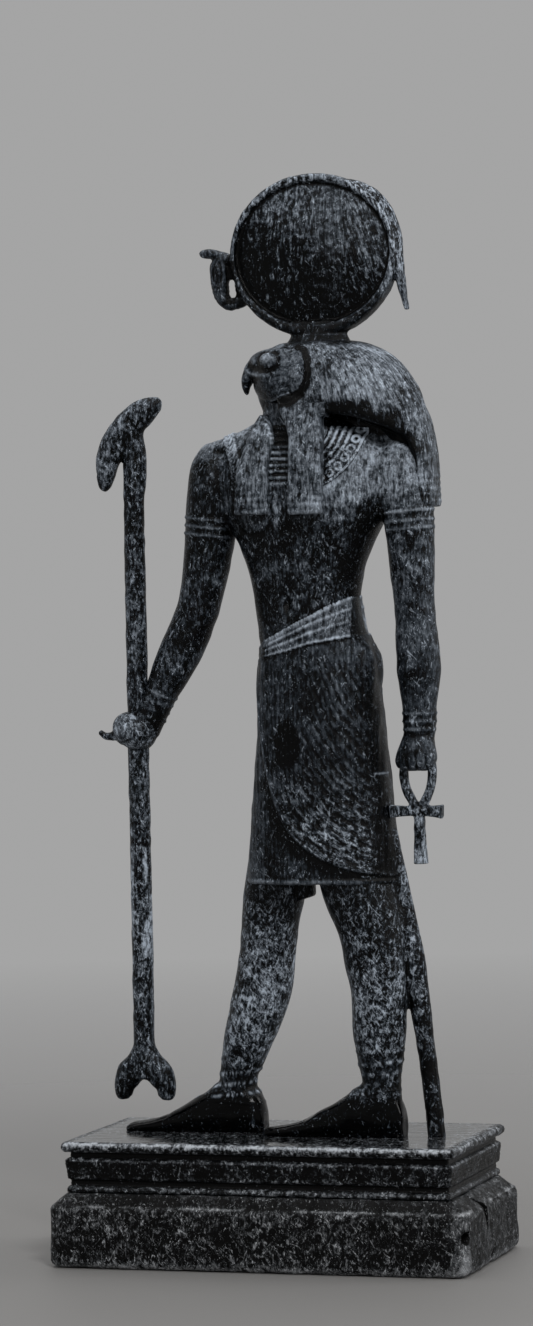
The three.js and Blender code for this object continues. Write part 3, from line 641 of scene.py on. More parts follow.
def head():
    skin = Skin("head_and_wig", wig_shapes() + face_shapes(), 0.38)
    skin.blend([(-2, -3, 213.6, 3.6), (-2, 3, 213.6, 3.6), (-1.4, -6, 209, 4), (-1.4, 6, 209, 4),
                (31, -9, 203, 7), (31, 9, 203, 7), (17.2, -8.6, 200.8, 3.6)], 40)
    skin.relax(3)
    x, y, z, normals = skin.survey()
    facing = np.abs(normals[:, 1])
    outward = np.maximum(facing, np.abs(normals[:, 0]))
    on_face = ((spot(x, z, PLATE) < 8.2) | (x < 2)) & (x < 15) & (z > 201.8) & (z < 217.4)
    lappet = (z < 201.8) & (y < -7.2) & (x < 19) & (x > -8)
    wig = ~on_face & ~lappet & ((x > 8) & (z > 170) | (z > 217))
    sided = step(0.25, 0.6, facing) * (x > -4)
    # The eye's dark ring is deepest in front of the ball and below it
    eye_x, eye_z = (x - EYE[0]) / EYE_RADII[0], (z - EYE[1]) / EYE_RADII[2]
    eye_gap = np.hypot(eye_x, eye_z)
    before = 0.5 + 0.5 * step(-1.2, 0.8, -eye_x - 0.5 * eye_z)
    push = on_face * sided * -0.9 * before * line(eye_gap - 1.4, 0.36)
    crescent = on_face * line(gap_to(x, z, (-3.6, 212.8), (-2.6, 215), (-0.6, 216.5), (3, 217)), 0.7)
    # The cere ends at a pale ridge, with the black gape below it
    cere = line(gap_to(x, z, (-6.4, 211.9), (-4.4, 210.5), (-1.6, 209.9)), 0.5)
    above = gap_to(x, z, (-4.8, 213), (-2.6, 212), (0.2, 211))
    gape = line(spot(x, z, (-3.2, 208.3), (1.2, 1)), 1.2) * (x > -5.4)
    jaw = gap_to(x, z, (2.4, 202.8), (5, 203.2), (8, 204.5))
    push += 0.3 * crescent + 0.3 * cere - 0.35 * line(above, 0.6)
    push += 0.25 * line(jaw, 0.5) * on_face - 0.5 * gape
    # Wig strands, finest at the face, and bands at the ends of the fall and the lappets
    wig_edge = np.interp(z, *np.array(WIG_EDGE).T[::-1])
    across = 8 + (x - 8) / np.maximum(wig_edge - 8, 1) * 36
    drift = 1.1 * skin.noise(4, 31, 0.3)
    push += wig * 0.05 * (wave(across + drift, 1.5) - 0.5) * step(0.1, 0.4, outward)
    push += 0.18 * (wig & (z < 181.5) & (x > 36)) * (wave(z - 174.4, 1.7) - 0.5)
    push += 0.07 * (lappet & (z > 179)) * (wave(x + drift, 1.4) - 0.5)
    push += 0.15 * (lappet & (z < 177.4)) * (wave(z - 172.2, 1.75) - 0.5)
    # The wig is undercut above the shoulder
    brink = np.interp(x, *np.array(WIG_BRINK).T)
    push -= 2.6 * wig * step(0, -4, z - brink) * step(43.6, 42, x) * (y < 6)
    skin.push(push, normals)
    skin.lumps(0.16 - 0.1 * on_face, 2, 2)
    # Wear of the wig, paler above, with painted shade in the undercut, on the wig's underside, under the
    # disc round the crown and in the gap beside the fall
    patches = skin.noise(5, 5)
    dripping = skin.noise(1.5, 34, 0.3) - 0.5
    forward = step(30, 16, x) * step(214, 206, z)
    hair = 0.565 - 0.034 * forward - 0.04 * step(32, 42, x) + 0.14 * (patches - 0.5)
    skin.pale = np.where(wig, hair, 0.495 + 0.06 * (patches - 0.5))
    # Painted shade: black in the undercut above the shoulder, and darker on downward faces
    shade = step(4.6, -0.6, z - brink + 3 * (patches - 0.5) + 4 * dripping) * step(43.6, 42, x)
    shade *= step(15.5, 18.5, x) * (y < 6)
    skin.pale -= wig * (0.19 * shade + 0.03 * step(-0.2, -0.7, normals[:, 2]))
    # Painted shadow of the disc and its stem on the top of the head
    skin.pale -= 0.12 * step(216.2, 218.2, z + 1.6 * dripping) * step(4, 7, x) * step(27, 23, x)
    # Painted shade on the wig's upward faces under the disc
    skin.pale -= wig * 0.1 * step(0.8, 0.97, normals[:, 2]) * step(17, 21, x) * step(38, 32, x)
    # Painted shade in the gap between the wig's fall and the shoulder
    fall_gap_shade = gap_to(x, z, (40.2, 191), (41.6, 185), (43, 179), (44.2, 174))
    skin.pale -= wig * 0.06 * line(fall_gap_shade + 1.2 * dripping, 0.8)
    # Wear of the face
    front_cheek = on_face * step(6, 2, x) * step(210.4, 208.6, z)
    skin.pale += on_face * (0.01 + 0.02 * step(4, 8, x) - 0.035 * front_cheek)
    skin.pale -= on_face * sided * 0.18 * before * line(eye_gap - 1.45, 0.36)
    # The eyeball is paler on top and darker below, partly painted highlight and shade, partly wear
    skin.pale += on_face * sided * line(eye_gap, 0.8) * (0.09 * step(-0.6, 0.5, eye_z) - 0.02)
    skin.pale += 0.07 * crescent + 0.1 * cere - 0.16 * line(above, 0.8)
    skin.pale -= 0.16 * gape - 0.06 * line(jaw, 0.4) * on_face
    skin.pale = np.where((z < 208.4) & (x < -5.2), 0.42, skin.pale)
    # Wear of the lappets, the throat between them painted black, a painted glint of beads on the far
    # lappet's edge, and painted shade in the groove round the face
    skin.pale = np.where(lappet, 0.54 + 0.09 * (patches - 0.5) - 0.018 * (x < 6), skin.pale)
    skin.pale = np.where((x < 8) & (z < 201.6) & ~lappet, 0.36, skin.pale)
    glint = gap_to(x, z, (1.3, 196.6), (2.6, 194.4), (3.4, 192), (3.4, 189.4))
    skin.pale += 0.2 * line(glint, 0.35) * wave(z, 1.3) ** 2 * (x < 5) * (y < -4)
    # Painted shade in the deep groove round the face
    groove, groove_along = to_path(x, z, GROOVE)
    groove_width = np.interp(groove_along, [0, 8, 14, 20, 26], [0.8, 1, 1.2, 1.6, 1])
    skin.pale -= 0.2 * step(1.25, 0.7, groove / groove_width) * (np.abs(y) > 4)
    skin.grit = np.where(on_face, 0.48 - 0.1 * front_cheek, np.where(lappet, 0.66, 0.76))
    skin.grain = np.stack([np.where(wig, across * 0.9, x), y, z * 0.19], axis=1)
    skin.grain = np.where(on_face[:, None], skin.points * 0.8, skin.grain)
    skin.gloss = np.where(on_face, 0.3, 0.0)
    return skin.finish(figure_coat, ["figure"])


# Trunk and arms

STAFF_ARM = [[-13.4, 0, 190.4, 2.6, 2.6], [-14.9, 0, 188.2, 5.7, 5.6], [-16.3, 0, 183.6, 7.1, 7.1],
             [-17.2, 0, 176, 7.4, 7.6], [-18.7, 0, 163, 6.9, 6.8], [-21.3, -0.8, 148, 6, 6],
             [-23.4, -1.4, 141.5, 5.9, 5.9], [-26.3, -2.2, 135, 6, 5.9], [-29.5, -3, 128.5, 5.5, 5.5],
             [-33, -3.7, 121, 4.5, 4.6], [-37, -4, 111.6, 3.8, 4]]
ANKH_ARM = [[33.8, -0.4, 190.4, 2.6, 2.6], [35.6, -0.4, 188.2, 5.7, 5.6], [37.2, -0.4, 183.6, 7, 7],
            [38.6, -0.4, 176, 7.1, 7.4], [39.6, -0.5, 163, 6.6, 6.8], [40.1, -0.7, 151.7, 5.9, 6],
            [40.5, -0.9, 145, 5.5, 5.7], [41, -1.2, 137, 5.9, 5.8], [41.5, -1.5, 128.5, 6.1, 5.8],
            [41.6, -1.8, 118, 4.8, 4.7], [41.6, -2, 109.8, 4.3, 4.4]]
TRUNK = [[12.5, 0, 128, 15, 10.5], [10.6, 0, 138, 14.7, 9.6], [9.7, 0, 146, 14.8, 9],
         [9.5, 0, 155, 16.2, 9.6], [9.6, 0, 163, 19, 10.8], [10, 0, 171, 23, 12], [10.3, 0, 179, 26, 11.6],
         [10.2, 0, 186.5, 26, 10.2], [10, 0, 191.4, 21.8, 9], [9.6, 0, 195.2, 15.4, 8],
         [8.8, 0, 198.5, 11, 7.4], [8, 0, 204, 9.4, 7.2]]
STRAP = [(-11.5, 193.5), (-9.3, 189), (-7.6, 184.4), (-7.3, 178)]
NAVEL = (6.4, 147)
RIBS = [(-4.5, 158), (1, 165.5), (8.5, 167.5), (17, 165.5), (24, 159)]
FAR_BREAST = [(-8.5, 169.6), (-6.4, 166.8), (-3.3, 165.7), (0, 166.4), (2.4, 168.4)]
SHOULDER_BLADES = (0.5, 176), (20, 176)
ARMPIT = (30.5, 170)
# Armlets and bracelets: the height of each ring, its half-width and its lift
STAFF_ARM_RINGS = [(170.6, 0.34, 0.34), (168.4, 0.34, 0.34), (166.2, 0.34, 0.34), (122.6, 0.4, 0.3),
                   (120.4, 0.35, 0.22), (118.2, 0.35, 0.22), (116, 0.4, 0.3)]
ANKH_ARM_RINGS = [(171.6, 0.45, 0.42), (169, 0.4, 0.26), (166.8, 0.4, 0.3), (116.2, 0.4, 0.26),
                  (114, 0.35, 0.18), (111.8, 0.4, 0.26), (109.4, 0.7, -0.3), (107.4, 0.4, 0.2)]
STAFF_PLACE = (-39.2, -4)
STAFF_RADIUS = 2.95


def rings_round(x, z, rows, rings):
    """Raised rings round a limb. A ring is its height on the limb's middle line, half-width and lift."""
    gap, along = to_path(x, z, [(row[0], row[2]) for row in rows])
    lengths = [0]
    for first, second in zip(rows[:-1], rows[1:]):
        lengths.append(lengths[-1] + math.hypot(second[0] - first[0], second[2] - first[2]))
    depths = [-row[2] for row in rows]
    return sum((gap < 9) * lift * line(along - np.interp(-height, depths, lengths), width)
               for height, width, lift in rings)


def trunk_shapes():
    body = stack(TRUNK, 96, 2.3, 10)
    pecs = [ball([1.5, -7.6, 176], [8.4, 4.2, 7.4]), ball([21, -7.4, 176], [8.6, 4, 7.4])]
    nape = limb([[-2, 0, 194.4, 3.4, 5], [-9, 0, 191.5, 3.1, 5], [-12, 0, 190.5, 3.1, 5],
                 [-16, 0, 189.1, 3.1, 5], [-18.5, 0, 187.4, 2.8, 4.6]])
    hump = limb([[18, 3, 197.4, 4, 6], [27, 3.4, 196, 3.6, 6], [34, 3.6, 192.8, 3.4, 5.4],
                 [39, 3, 188.6, 2.6, 4.4]])
    return [body, *pecs, nape, hump]


def arm_shapes():
    """Both arms, the open-bored fist round the staff with its thumb, and the hand that holds the ankh."""
    rod = stack([[*STAFF_PLACE, z, STAFF_RADIUS + 0.3, STAFF_RADIUS + 0.3] for z in (140, 80)], 48, 2, 1)
    fist = [without(ball([-38.9, -4.2, 111.6], [5.1, 6.1, 5.3]), rod),
            without(ball([-41.3, -5, 112.6], [4.8, 5.4, 4.9]), rod)]
    thumb = limb([[-42, -6, 111.4, 1.7, 1.9], [-45, -6, 110.7, 1.3, 1.5], [-47.6, -6, 110.7, 1.1, 1.2],
                  [-49.9, -6, 112, 0.7, 0.9]])
    hand = stack([[41.4, -2, 111, 4.1, 4], [40.9, -2.2, 107.6, 4.9, 4.7], [40.6, -2.4, 104, 5.7, 5.2],
                  [40.4, -2.4, 101.2, 4.8, 4.4], [40.4, -2.4, 100.4, 3.4, 3]], power=2.6)
    return [limb(STAFF_ARM, 48), limb(ANKH_ARM, 48), hand, *fist, thumb]


def muscles(x, z, front, back):
    """Navel, middle line, the arch below the ribs, the far breast's edge, backbone and shoulder blades."""
    push = front * -1.5 * line(spot(x, z, NAVEL, (1, 1.9)), 1.05)
    push -= front * 0.35 * line(x - 7.6, 1.6) * band(z, 150, 170, 4)
    push -= front * (0.35 * line(gap_to(x, z, *RIBS), 1.6) + 0.4 * line(gap_to(x, z, *FAR_BREAST), 0.9))
    push -= back * 0.8 * line(x - 10, 2.2) * band(z, 143, 190, 6)
    for blade in SHOULDER_BLADES:
        push += back * 0.7 * line(spot(x, z, blade, (1, 1.7)), 5)
    return push


def hand_grooves(x, y, z, fist):
    """The zigzag between the near wrist's rings, and three grooves across the fingers of each hand."""
    zigzag = np.abs(((np.arctan2(y, x - 41.5) * 4.6) % 2.2) - 1.1) - 0.55
    push = 0.16 * ((x > 34) & (z > 111.8) & (z < 116.4)) * line(z - 114 - zigzag * 1.6, 0.4)
    push -= 0.12 * (fist & (y < -5)) * line(((z - 0.6 * x - 106.6) % 2.6) - 1.3, 0.4)
    hand = (x > 34) & (z < 106.5) & (y < -3.5)
    return push - 0.4 * hand * line(((x - 35) % 2.7) - 1.35, 0.35) * step(106.5, 103.5, z)


def torso():
    skin = Skin("torso_and_arms", trunk_shapes() + arm_shapes(), 0.47)
    skin.blend([(-9.5, 0, 187, 8), (-11, -3, 176, 7), (31, 0, 187, 8), (32, -3, 176, 7),
                (-10, 4, 178, 7), (31, 4, 178, 7), (-35.5, -4, 114, 4), (41.2, -2, 109.5, 4),
                (1.5, -9, 169, 6), (21, -9, 169, 6), (11, -10, 176, 5), (-10, 0, 191, 7),
                (33, -6, 184, 9), (33, -6, 176, 8), (30, -8, 181, 7), (-12, -6, 183, 7)], 50)
    skin.relax(4)
    x, y, z, normals = skin.survey()
    trunk = (x > -13) & (x < 33.5)
    front = trunk * step(0.1, 0.5, -normals[:, 1])
    back = trunk * step(0.1, 0.5, normals[:, 1])
    push = muscles(x, z, front, back)
    # Necklace rows between the lappets
    necklace = (x > 1.5) & (x < 9) & (z > 179) & (z < 196) & (y < 0)
    rows = wave(z - 184.9, 1.7)
    push += 0.5 * necklace * (rows - 0.2) * (0.7 + 0.3 * wave(x, 1.1))
    # Strap over the far shoulder, laid in a herringbone
    strap, strap_along = to_path(x, z, STRAP)
    on_strap = (strap < 1.7) & (z > 178) & (np.abs(normals[:, 1]) > 0.15)
    herringbone = wave(strap_along + 1.2 * strap, 1.4)
    push += on_strap * (0.35 + 0.25 * herringbone)
    # Armlets, bracelets and fingers
    arms = ~trunk | (np.abs(x - 10) > 24)
    staff_rings = (x < -10) * rings_round(x, z, STAFF_ARM, STAFF_ARM_RINGS)
    ankh_rings = (x > 31) * rings_round(x, z, ANKH_ARM, ANKH_ARM_RINGS)
    fist = (spot(x, z, (-40, 111)) < 6.6) & (x > -45.5)
    push += arms * (staff_rings + ankh_rings) + hand_grooves(x, y, z, fist)
    skin.push(push, normals)
    skin.lumps(0.3, 3.2, 3)
    # Wear: pale on the chest, the shoulders and the near arm, darker on the belly, with a painted highlight
    # on the far shoulder's upper faces and painted shade in the armpit
    small = skin.noise(2.4, 7)
    skin.pale = 0.452 + 0.09 * (skin.noise(6, 6) - 0.5) + 0.06 * (small - 0.5)
    upper = step(166, 178, z)
    near = step(31, 35.5, x)
    chest = (x > -13) * upper * (y < 3) * (1 - near)
    skin.pale += chest * (0.045 + 0.08 * step(10, 18, x)) + near * (0.01 + 0.1 * step(171, 182, z))
    # Painted light: the far shoulder's upward faces are paler, as lit from above
    rising = step(0, 0.7, normals[:, 2]) * step(176, 186, z)
    skin.pale += (x < 0) * (0.11 * rising - 0.008)
    skin.pale -= 0.05 * trunk * line(gap_to(x, z, *FAR_BREAST), 1)
    lappet_edge = gap_to(x, z, (-2.9, 199), (-5, 193.5), (-7.4, 187), (-8.6, 182), (-9, 172))
    skin.pale -= 0.08 * line(lappet_edge, 0.9) * (y < 0)
    skin.pale += on_strap * (y < 0) * 0.09 * herringbone
    skin.pale -= trunk * (0.006 + 0.02 * step(17, 23, x)) * step(166, 160, z)
    # Painted shade in the armpit
    skin.pale -= trunk * 0.12 * step(1.3, 0.6, spot(x, z, ARMPIT, (4.5, 6)))
    skin.pale -= 0.03 * trunk * step(19, 24, x) * step(166, 158, z)
    skin.pale += near * (0.012 + 0.012 * step(150, 140, z))
    skin.pale += 0.01 * trunk * step(166, 160, z) * step(152, 158, z)
    facing = 0.25 + 0.75 * step(0.5, 0.95, -normals[:, 1])
    rings = np.clip(np.maximum(staff_rings, ankh_rings), 0, 0.4)
    skin.pale += 0.22 * rings * np.where(z < 130, facing * (0.5 + small), 1)
    skin.pale += fist * (0.07 * step(0, 0.6, -normals[:, 1]) + 0.06 * (small - 0.5))
    skin.pale -= 0.035 * (x < -20) * step(128, 122, z) * step(0.2, 0.6, normals[:, 0])
    # Wear of the necklace and a drip below it, a painted highlight on the rim where the wig ends, and
    # painted shade under the wig
    worn_rows = 0.39 + step(191.6, 189, z) * (0.04 + 0.12 * rows * (0.5 + small))
    skin.pale = np.where(necklace, worn_rows, skin.pale)
    skin.pale += necklace * 0.16 * line(z - 178.6, 0.6) * (z < 180)
    drip = line(x - 4.4 - 0.4 * np.sin(z), 0.7) * band(z, 166, 176.5, 2)
    skin.pale += 0.13 * drip * front * (x < 9)
    # Painted highlight along the near shoulder's top edge
    skin.pale += 0.1 * line(gap_to(x, z, (33.4, 193), (36.4, 191.6), (39.4, 189.4)), 0.5) * (y < 4)
    # Painted shade under the wig's overhang, above this line
    under_wig = np.interp(x, [14, 18, 27, 34, 40], [195.4, 194.6, 193.8, 192.2, 189])
    skin.pale -= 0.2 * step(-0.6, 0.8, z - under_wig) * (x > 16)
    skin.dabs = np.where(upper > 0.5, 0.1, 0.3) + 0.6 * fist
    skin.grit = 0.58 + 0.16 * upper * step(8, 16, x) - 0.22 * near * step(154, 146, z)
    skin.grit = np.where(rings > 0.1, 0.4, skin.grit)
    skin.grain = skin.points * np.array([1, 1, 0.26])
    skin.gloss = 0.25 * step(0.52, 0.42, skin.pale)
    return skin.finish(figure_coat, ["figure"])


# The broad collar, laid over the chest and back in bead rows about the neck

COLLAR = (10.3, 196)
# How far from its middle the collar starts, the drops start, the border starts and the collar ends
COLLAR_START, DROPS_START, BORDER_START, COLLAR_END = 8.4, 15.2, 18, 18.9
# How far apart its points are, outwards in millimetres and round it in degrees
COLLAR_PITCH = 0.16
COLLAR_TURN = 0.85


def collar_relief(radius, angle):
    """From 0 to 1: rows of beads, then a row of hollow drops, then a border."""
    if radius < DROPS_START:
        row = 0.5 + 0.5 * math.cos(2 * math.pi * (radius - 9.2) / 1.72)
        bead = 0.5 + 0.5 * math.cos(2 * math.pi * angle * radius / 2.3)
        return row * (0.65 + 0.35 * bead)
    if radius < BORDER_START:
        across = (angle * 16.6) % 2.9 - 1.45
        return math.exp(-((math.hypot(across / 1.1, (radius - 16.5) / 1.25) - 0.8) / 0.34) ** 2)
    return 0.8


def collar(chest):
    tree = BVHTree.FromPolygons([tuple(vertex.co) for vertex in chest.data.vertices],
                                [tuple(face.vertices) for face in chest.data.polygons])
    radii = np.arange(COLLAR_START, COLLAR_END, COLLAR_PITCH)
    points, pale, faces = [], [], []
    for side, first in ((-1, -98), (1, -176)):
        angles = np.radians(np.arange(first, -3, COLLAR_TURN))
        base, count = len(points), len(angles)
        for radius in radii:
            for angle in angles:
                x, z = COLLAR[0] + radius * math.cos(angle), COLLAR[1] + radius * math.sin(angle)
                hit = tree.ray_cast(Vector((x, side * 40, z + SOLE)) * MM, Vector((0, -side, 0)))[0]
                depth = hit.y / MM if hit else 0
                # The last ring turns in, so that the collar has an edge
                relief = -1.6 if radius == radii[-1] else collar_relief(radius, angle)
                # worn is a painted glint along the bead crests near z 192.6, with some wear
                worn = 0.2 * math.exp(-((z - 192.6) / 2.8) ** 2)
                slit = 0.12 * math.exp(-((x - 18.6) / 0.7) ** 2)
                points.append((x, depth + side * (0.2 + 0.45 * relief), z))
                pale.append(0.435 + (0.21 + worn) * relief - slit)
        for ring in range(len(radii) - 1):
            for turn in range(count - 1):
                here = base + ring * count + turn
                face = (here, here + 1, here + count + 1, here + count)
                faces.append(face if side < 0 else face[::-1])
    points = np.array(points)
    obj = raw_mesh("bead_collar", [((points + [0, 0, SOLE]) * MM, faces)])
    obj.data.validate()
    even = np.ones(len(points))
    grain = points * [1.4, 1, 1.4]
    dress(obj, figure_coat, ["figure"], "dark_casting", grain, pale, even, 0.2 * even, 0.8 * even)


# The ankh

KNOT = (41.2, 89.6)


def ankh_shapes():
    right = [(38.9, 92.6), (37.4, 96), (36.9, 99.4), (37.1, 102.6), (38.4, 105.4)]
    left = [(43.4, 105.4), (44.8, 102.6), (45, 99.4), (44.5, 96), (43.1, 92.6)]
    ends = (41.2, 89.6), (40.9, 89.6)
    loop = [[x, -2.4, z, 1.2, 1.6] for x, z in (ends[0], *right, (40.9, 106.8), *left, ends[1])]
    bar = [[33, -2.4, 89.2, 1.8, 1.7], [36, -2.4, 89.3, 1.45, 1.7], [41, -2.4, 89.4, 1.3, 1.7],
           [45, -2.4, 89.3, 1.5, 1.7], [47.8, -2.4, 89.1, 2, 1.7]]
    stem = [[41.2, -2.4, 90, 1.3, 1.7], [41.2, -2.4, 83, 1.45, 1.7], [41.4, -2.4, 74.8, 1.85, 1.7]]
    knot = ball([KNOT[0], -2.4, KNOT[1]], [2.2, 2.1, 2.1])
    return [limb(loop, 24, 2.6, 5), limb(bar, 32, 5, 4), limb(stem, 32, 5, 6), knot]


def ankh():
    skin = Skin("ankh", ankh_shapes(), 0.3)
    skin.relax(4)
    x, y, z, normals = skin.survey()
    skin.push(-0.2 * line(spot(x, z, KNOT) - 1.4, 0.35) * (np.abs(y + 2.4) > 1), normals)
    skin.lumps(0.2, 1.8, 8)
    skin.pale = 0.48 + 0.06 * step(86, 76, z) + 0.02 * (x > 43) + 0.06 * (skin.noise(3, 9) - 0.5)
    skin.dabs[:] = 0.7
    skin.grain = skin.points * np.array([1, 1, 0.3])
    return skin.finish(figure_coat, ["figure"])


# Kilt and belt

KILT = [[13.15, 0, 69.6, 21.45, 12.4], [12.85, 0, 76, 21.05, 12.3], [12.8, 0, 86, 20.1, 12.1],
        [12.8, 0, 97, 19.1, 12], [12.85, 0, 108.5, 17.95, 12], [12.4, 0, 120, 17, 12],
        [11.9, 0, 129, 16, 11.7, 2.4], [10.85, 0, 136.6, 14.6, 10.9, 5.4],
        [10.05, 0, 141.6, 14.05, 10.2, 7.1]]
HEM = 70.4
# The belt's edges as x and z, and its cords as shares of the way up
BELT_TOP = [(-4, 134.6), (24.1, 148.7)]
BELT_LOW = [(-3.5, 131.6), (-0.8, 132.2), (7.5, 134.2), (13.3, 136), (24.5, 137.9), (29, 138.4)]
BELT_CORDS = (0.0, 0.37, 0.69, 0.97)
# The corner that the pleats curve about, and how far from it the wrap's edge falls
WRAP = (-8.5, 64.5)
WRAP_EDGE = 17.6


def kilt():
    buttocks = [ball([24.6, side * 3.6, 128], [5, 4, 8.4]) for side in (-1, 1)]
    skin = Skin("kilt_and_belt", [stack(KILT, 96, 2.5, 10)] + buttocks, 0.4)
    skin.blend([(27.6, 0, 128, 11)], 40)
    skin.relax(4)
    x, y, z, normals = skin.survey()
    front = step(-0.1, 0.35, -normals[:, 1])
    # The belt: four cords, with the knot's tab at its front end
    top, low = (np.interp(x, *np.array(edge).T) for edge in (BELT_TOP, BELT_LOW))
    share = (z - low) / np.maximum(top - low, 1)
    in_belt = (share > -0.05) & (normals[:, 2] < 0.8)
    belt_front = in_belt & ((x < 23.6) | (y > 0))
    edges = np.min([np.abs(share - cord) for cord in BELT_CORDS], axis=0) * (top - low)
    inset = step(-3.4, 1.5, x) * step(26.4, 23, x)
    push = in_belt * inset * (0.4 + 0.36 * belt_front * line(edges, 0.45))
    push += 0.3 * ((np.abs(x + 1.4) < 1.7) & (np.abs(z - 134.6) < 2.6))
    # The strip that hangs from the belt down the hip
    below = z < low
    strip = step(3.4, 2.8, np.abs(x - (26 + 0.045 * (136 - z))))
    push += (y < 4) * step(low, low - 3, z) * step(71, 73, z) * (0.22 * strip + 0.1 * (wave(x, 1.3) - 0.5))
    # Wrap edge, pleats and beaded weave, which follow curves about the wrap's corner
    fall = np.sqrt(np.maximum((x - WRAP[0]) * (z - WRAP[1]), 0))
    along = ((x - WRAP[0]) ** 2 - (z - WRAP[1]) ** 2) / (2 * np.hypot(x - WRAP[0], z - WRAP[1]))
    over = step(16.9, 17.5, fall) * below
    push += over * 0.45 + 0.25 * line(fall - WRAP_EDGE, 0.5) * below
    pleat_zone = over * step(1, 13, x + 0.28 * (100 - z)) * step(31, 27.5, x) * step(134, 126, z)
    drift = 0.9 * skin.noise(5, 32)
    pleats = wave(fall - WRAP_EDGE + drift, 1.45)
    weave = wave(along + drift, 1.5)
    push += pleat_zone * front * 0.15 * (pleats - 0.5) * (1 + 1.2 * (weave - 0.5) * step(104, 84, z))
    push += over * (1 - front) * 0.3 * (wave(x, 2.4) - 0.5) * (np.abs(normals[:, 1]) > 0.2)
    push += (1 - over) * below * 0.05 * (wave(x + 0.1 * (z - 80) + drift, 1.6) - 0.5)
    # Hem cord
    push += 0.35 * line(z - HEM, 0.55) * (np.abs(normals[:, 2]) < 0.8)
    skin.push(push, normals)
    skin.lumps(0.26, 3, 11)
    # Wear: palest on the lower pleats and the cords
    patches = skin.noise(7, 12)
    small = skin.noise(2.2, 13)
    lower = step(104, 80, z)
    skin.pale = 0.47 + 0.07 * (patches - 0.5) + 0.035 * (small - 0.5) - 0.008 * step(6, 14, x)
    pleat_wear = (0.02 + 0.05 * lower) * (pleats - 0.5) * (0.5 + 0.5 * weave)
    skin.pale += pleat_zone * front * (0.012 * lower + pleat_wear)
    cords = (0.5 + 1.2 * small) * line(edges, 0.42)
    skin.pale += belt_front * step(-1.5, 1.6, x) * (0.084 + 0.05 * cords)
    knot = gap_to(x, z, (-4.4, 135.7), (-2.6, 136), (-1.5, 135.2), (-1.2, 133.2))
    skin.pale += (0.13 * line(knot, 0.32) - 0.05 * line(spot(x, z, (-1.4, 132.8)), 1.8)) * (y < 0)
    skin.pale -= 0.025 * step(24, 27.5, x) * below
    skin.pale += 0.008 * step(112, 122, z) * below - 0.006 * band(z, 96, 112, 5)
    skin.pale += 0.05 * line(z - 70.2, 0.6)
    # A dark smudge on the lap and a scratch at the back
    smudge = spot(x, z, (6.6, 107.8), (3.3, 5.6)) + 0.3 * (small - 0.5) + 0.7 * (patches - 0.5)
    skin.pale -= 0.08 * step(1.35, 0.8, smudge) * (y < 0)
    skin.pale -= 0.05 * line(fall - 15.6, 1.2) * step(102, 92, z) + 0.015 * (1 - over) * (z < 100)
    skin.pale += (0.002 + 0.032 * step(1, -2, x)) * below - 0.02 * step(27, 30, x) * (y < 0)
    scratch = np.hypot(np.maximum(np.abs(x - 30.9) - 1.3, 0), z - 99.8)
    skin.pale += 0.2 * line(scratch, 0.4) * (y < 0)
    skin.pale = np.where(in_belt & ~belt_front, 0.44, skin.pale)
    skin.grit = 0.36 + 0.75 * pleat_zone * lower + 0.2 * belt_front
    skin.dabs = 0.1 + 0.45 * pleat_zone * lower + 0.25 * step(26, 29, x)
    pleated = pleat_zone > 0.4
    skin.grain = np.stack([np.where(pleated, fall + 40, x), y, np.where(pleated, along, z) * 0.22], axis=1)
    skin.gloss = 0.15 + 0.3 * step(1.25, 0.95, smudge) * (y < 0)
    return skin.finish(figure_coat, ["figure"])


# Legs, feet and tail

FRONT_LEG = [[-0.4, 2.6, 76, 8.8, 8.4], [-2.4, 2.7, 66, 8.6, 8], [-3.8, 2.8, 58, 8, 7.8],
             [-4.8, 3, 48.5, 7.8, 7.5], [-6, 3, 41, 8.1, 7.4], [-8.2, 3, 33.5, 7.7, 7.2],
             [-11.4, 3, 24, 6.7, 6.2], [-13.9, 3, 14.5, 5.3, 5], [-14.6, 3, 2, 5.8, 4.6]]
BACK_LEG = [[21.6, -2.6, 76, 10.6, 8.6], [23.8, -2.7, 67, 10.2, 8.4], [26.6, -2.8, 58, 9.2, 8],
            [28.1, -3, 48.5, 8.5, 7.6], [28.9, -3, 39, 7.8, 7.4], [28.8, -3, 29, 7.4, 6.8],
            [29, -3, 21.5, 6.5, 5.8], [29.2, -3, 14.5, 5.4, 5], [29.3, -3, 2, 5.8, 4.6]]
# The knees as x and z, and how high the calves are thickest
KNEES = (-9.5, 47), (22.4, 48)
CALF = 34
# The anklets of the front and of the back leg: the height of each bead row and how far it stands out
ANKLETS = ((16.4, 1), (13.3, 1), (10.3, 0.9)), ((20.2, 1), (17.2, 0.5), (14.4, 0.4))
# A foot's sections: how far in front of the heel, half the width and the height
FOOT = [[0, 3, 5.5], [0.6, 3.8, 8.4], [1.6, 4.3, 10.5], [6, 5, 14.5], [12, 5, 14], [18, 5.3, 10],
        [24, 5.7, 6.8], [29, 6, 4], [34, 6, 2.5], [39.2, 4.8, 1.6], [40.2, 3.6, 1.1]]


def leg_shapes():
    tail = limb([[31.5, 0, 84, 2.4, 2.4], [34, 0, 70, 2.8, 2.5], [35.9, 0, 58, 3.5, 2.5],
                 [38.1, 0, 48, 3.4, 2.5], [39.4, 0, 38, 3.1, 2.5], [41, 0, 26, 2.5, 2.4],
                 [42.4, 0, 14, 2.5, 2.4], [43.6, 0, 2, 2.5, 2.5], [43.8, 0, -0.8, 2.5, 2.5]], 32)
    inner_fold = stack([[7.6, 0.5, 65, 2, 2.2, 0.7], [7.6, 0.5, 65.5, 2.4, 2.6, 0.6],
                        [7.4, 0.5, 71, 2.7, 3, 0]], 32, 3)
    feet = [footprint([[heel - back, y, half, height] for back, half, height in FOOT])
            for heel, y in ((-6.1, 3), (35.7, -3))]
    return [limb(FRONT_LEG, 48), limb(BACK_LEG, 48), inner_fold, *feet, tail]


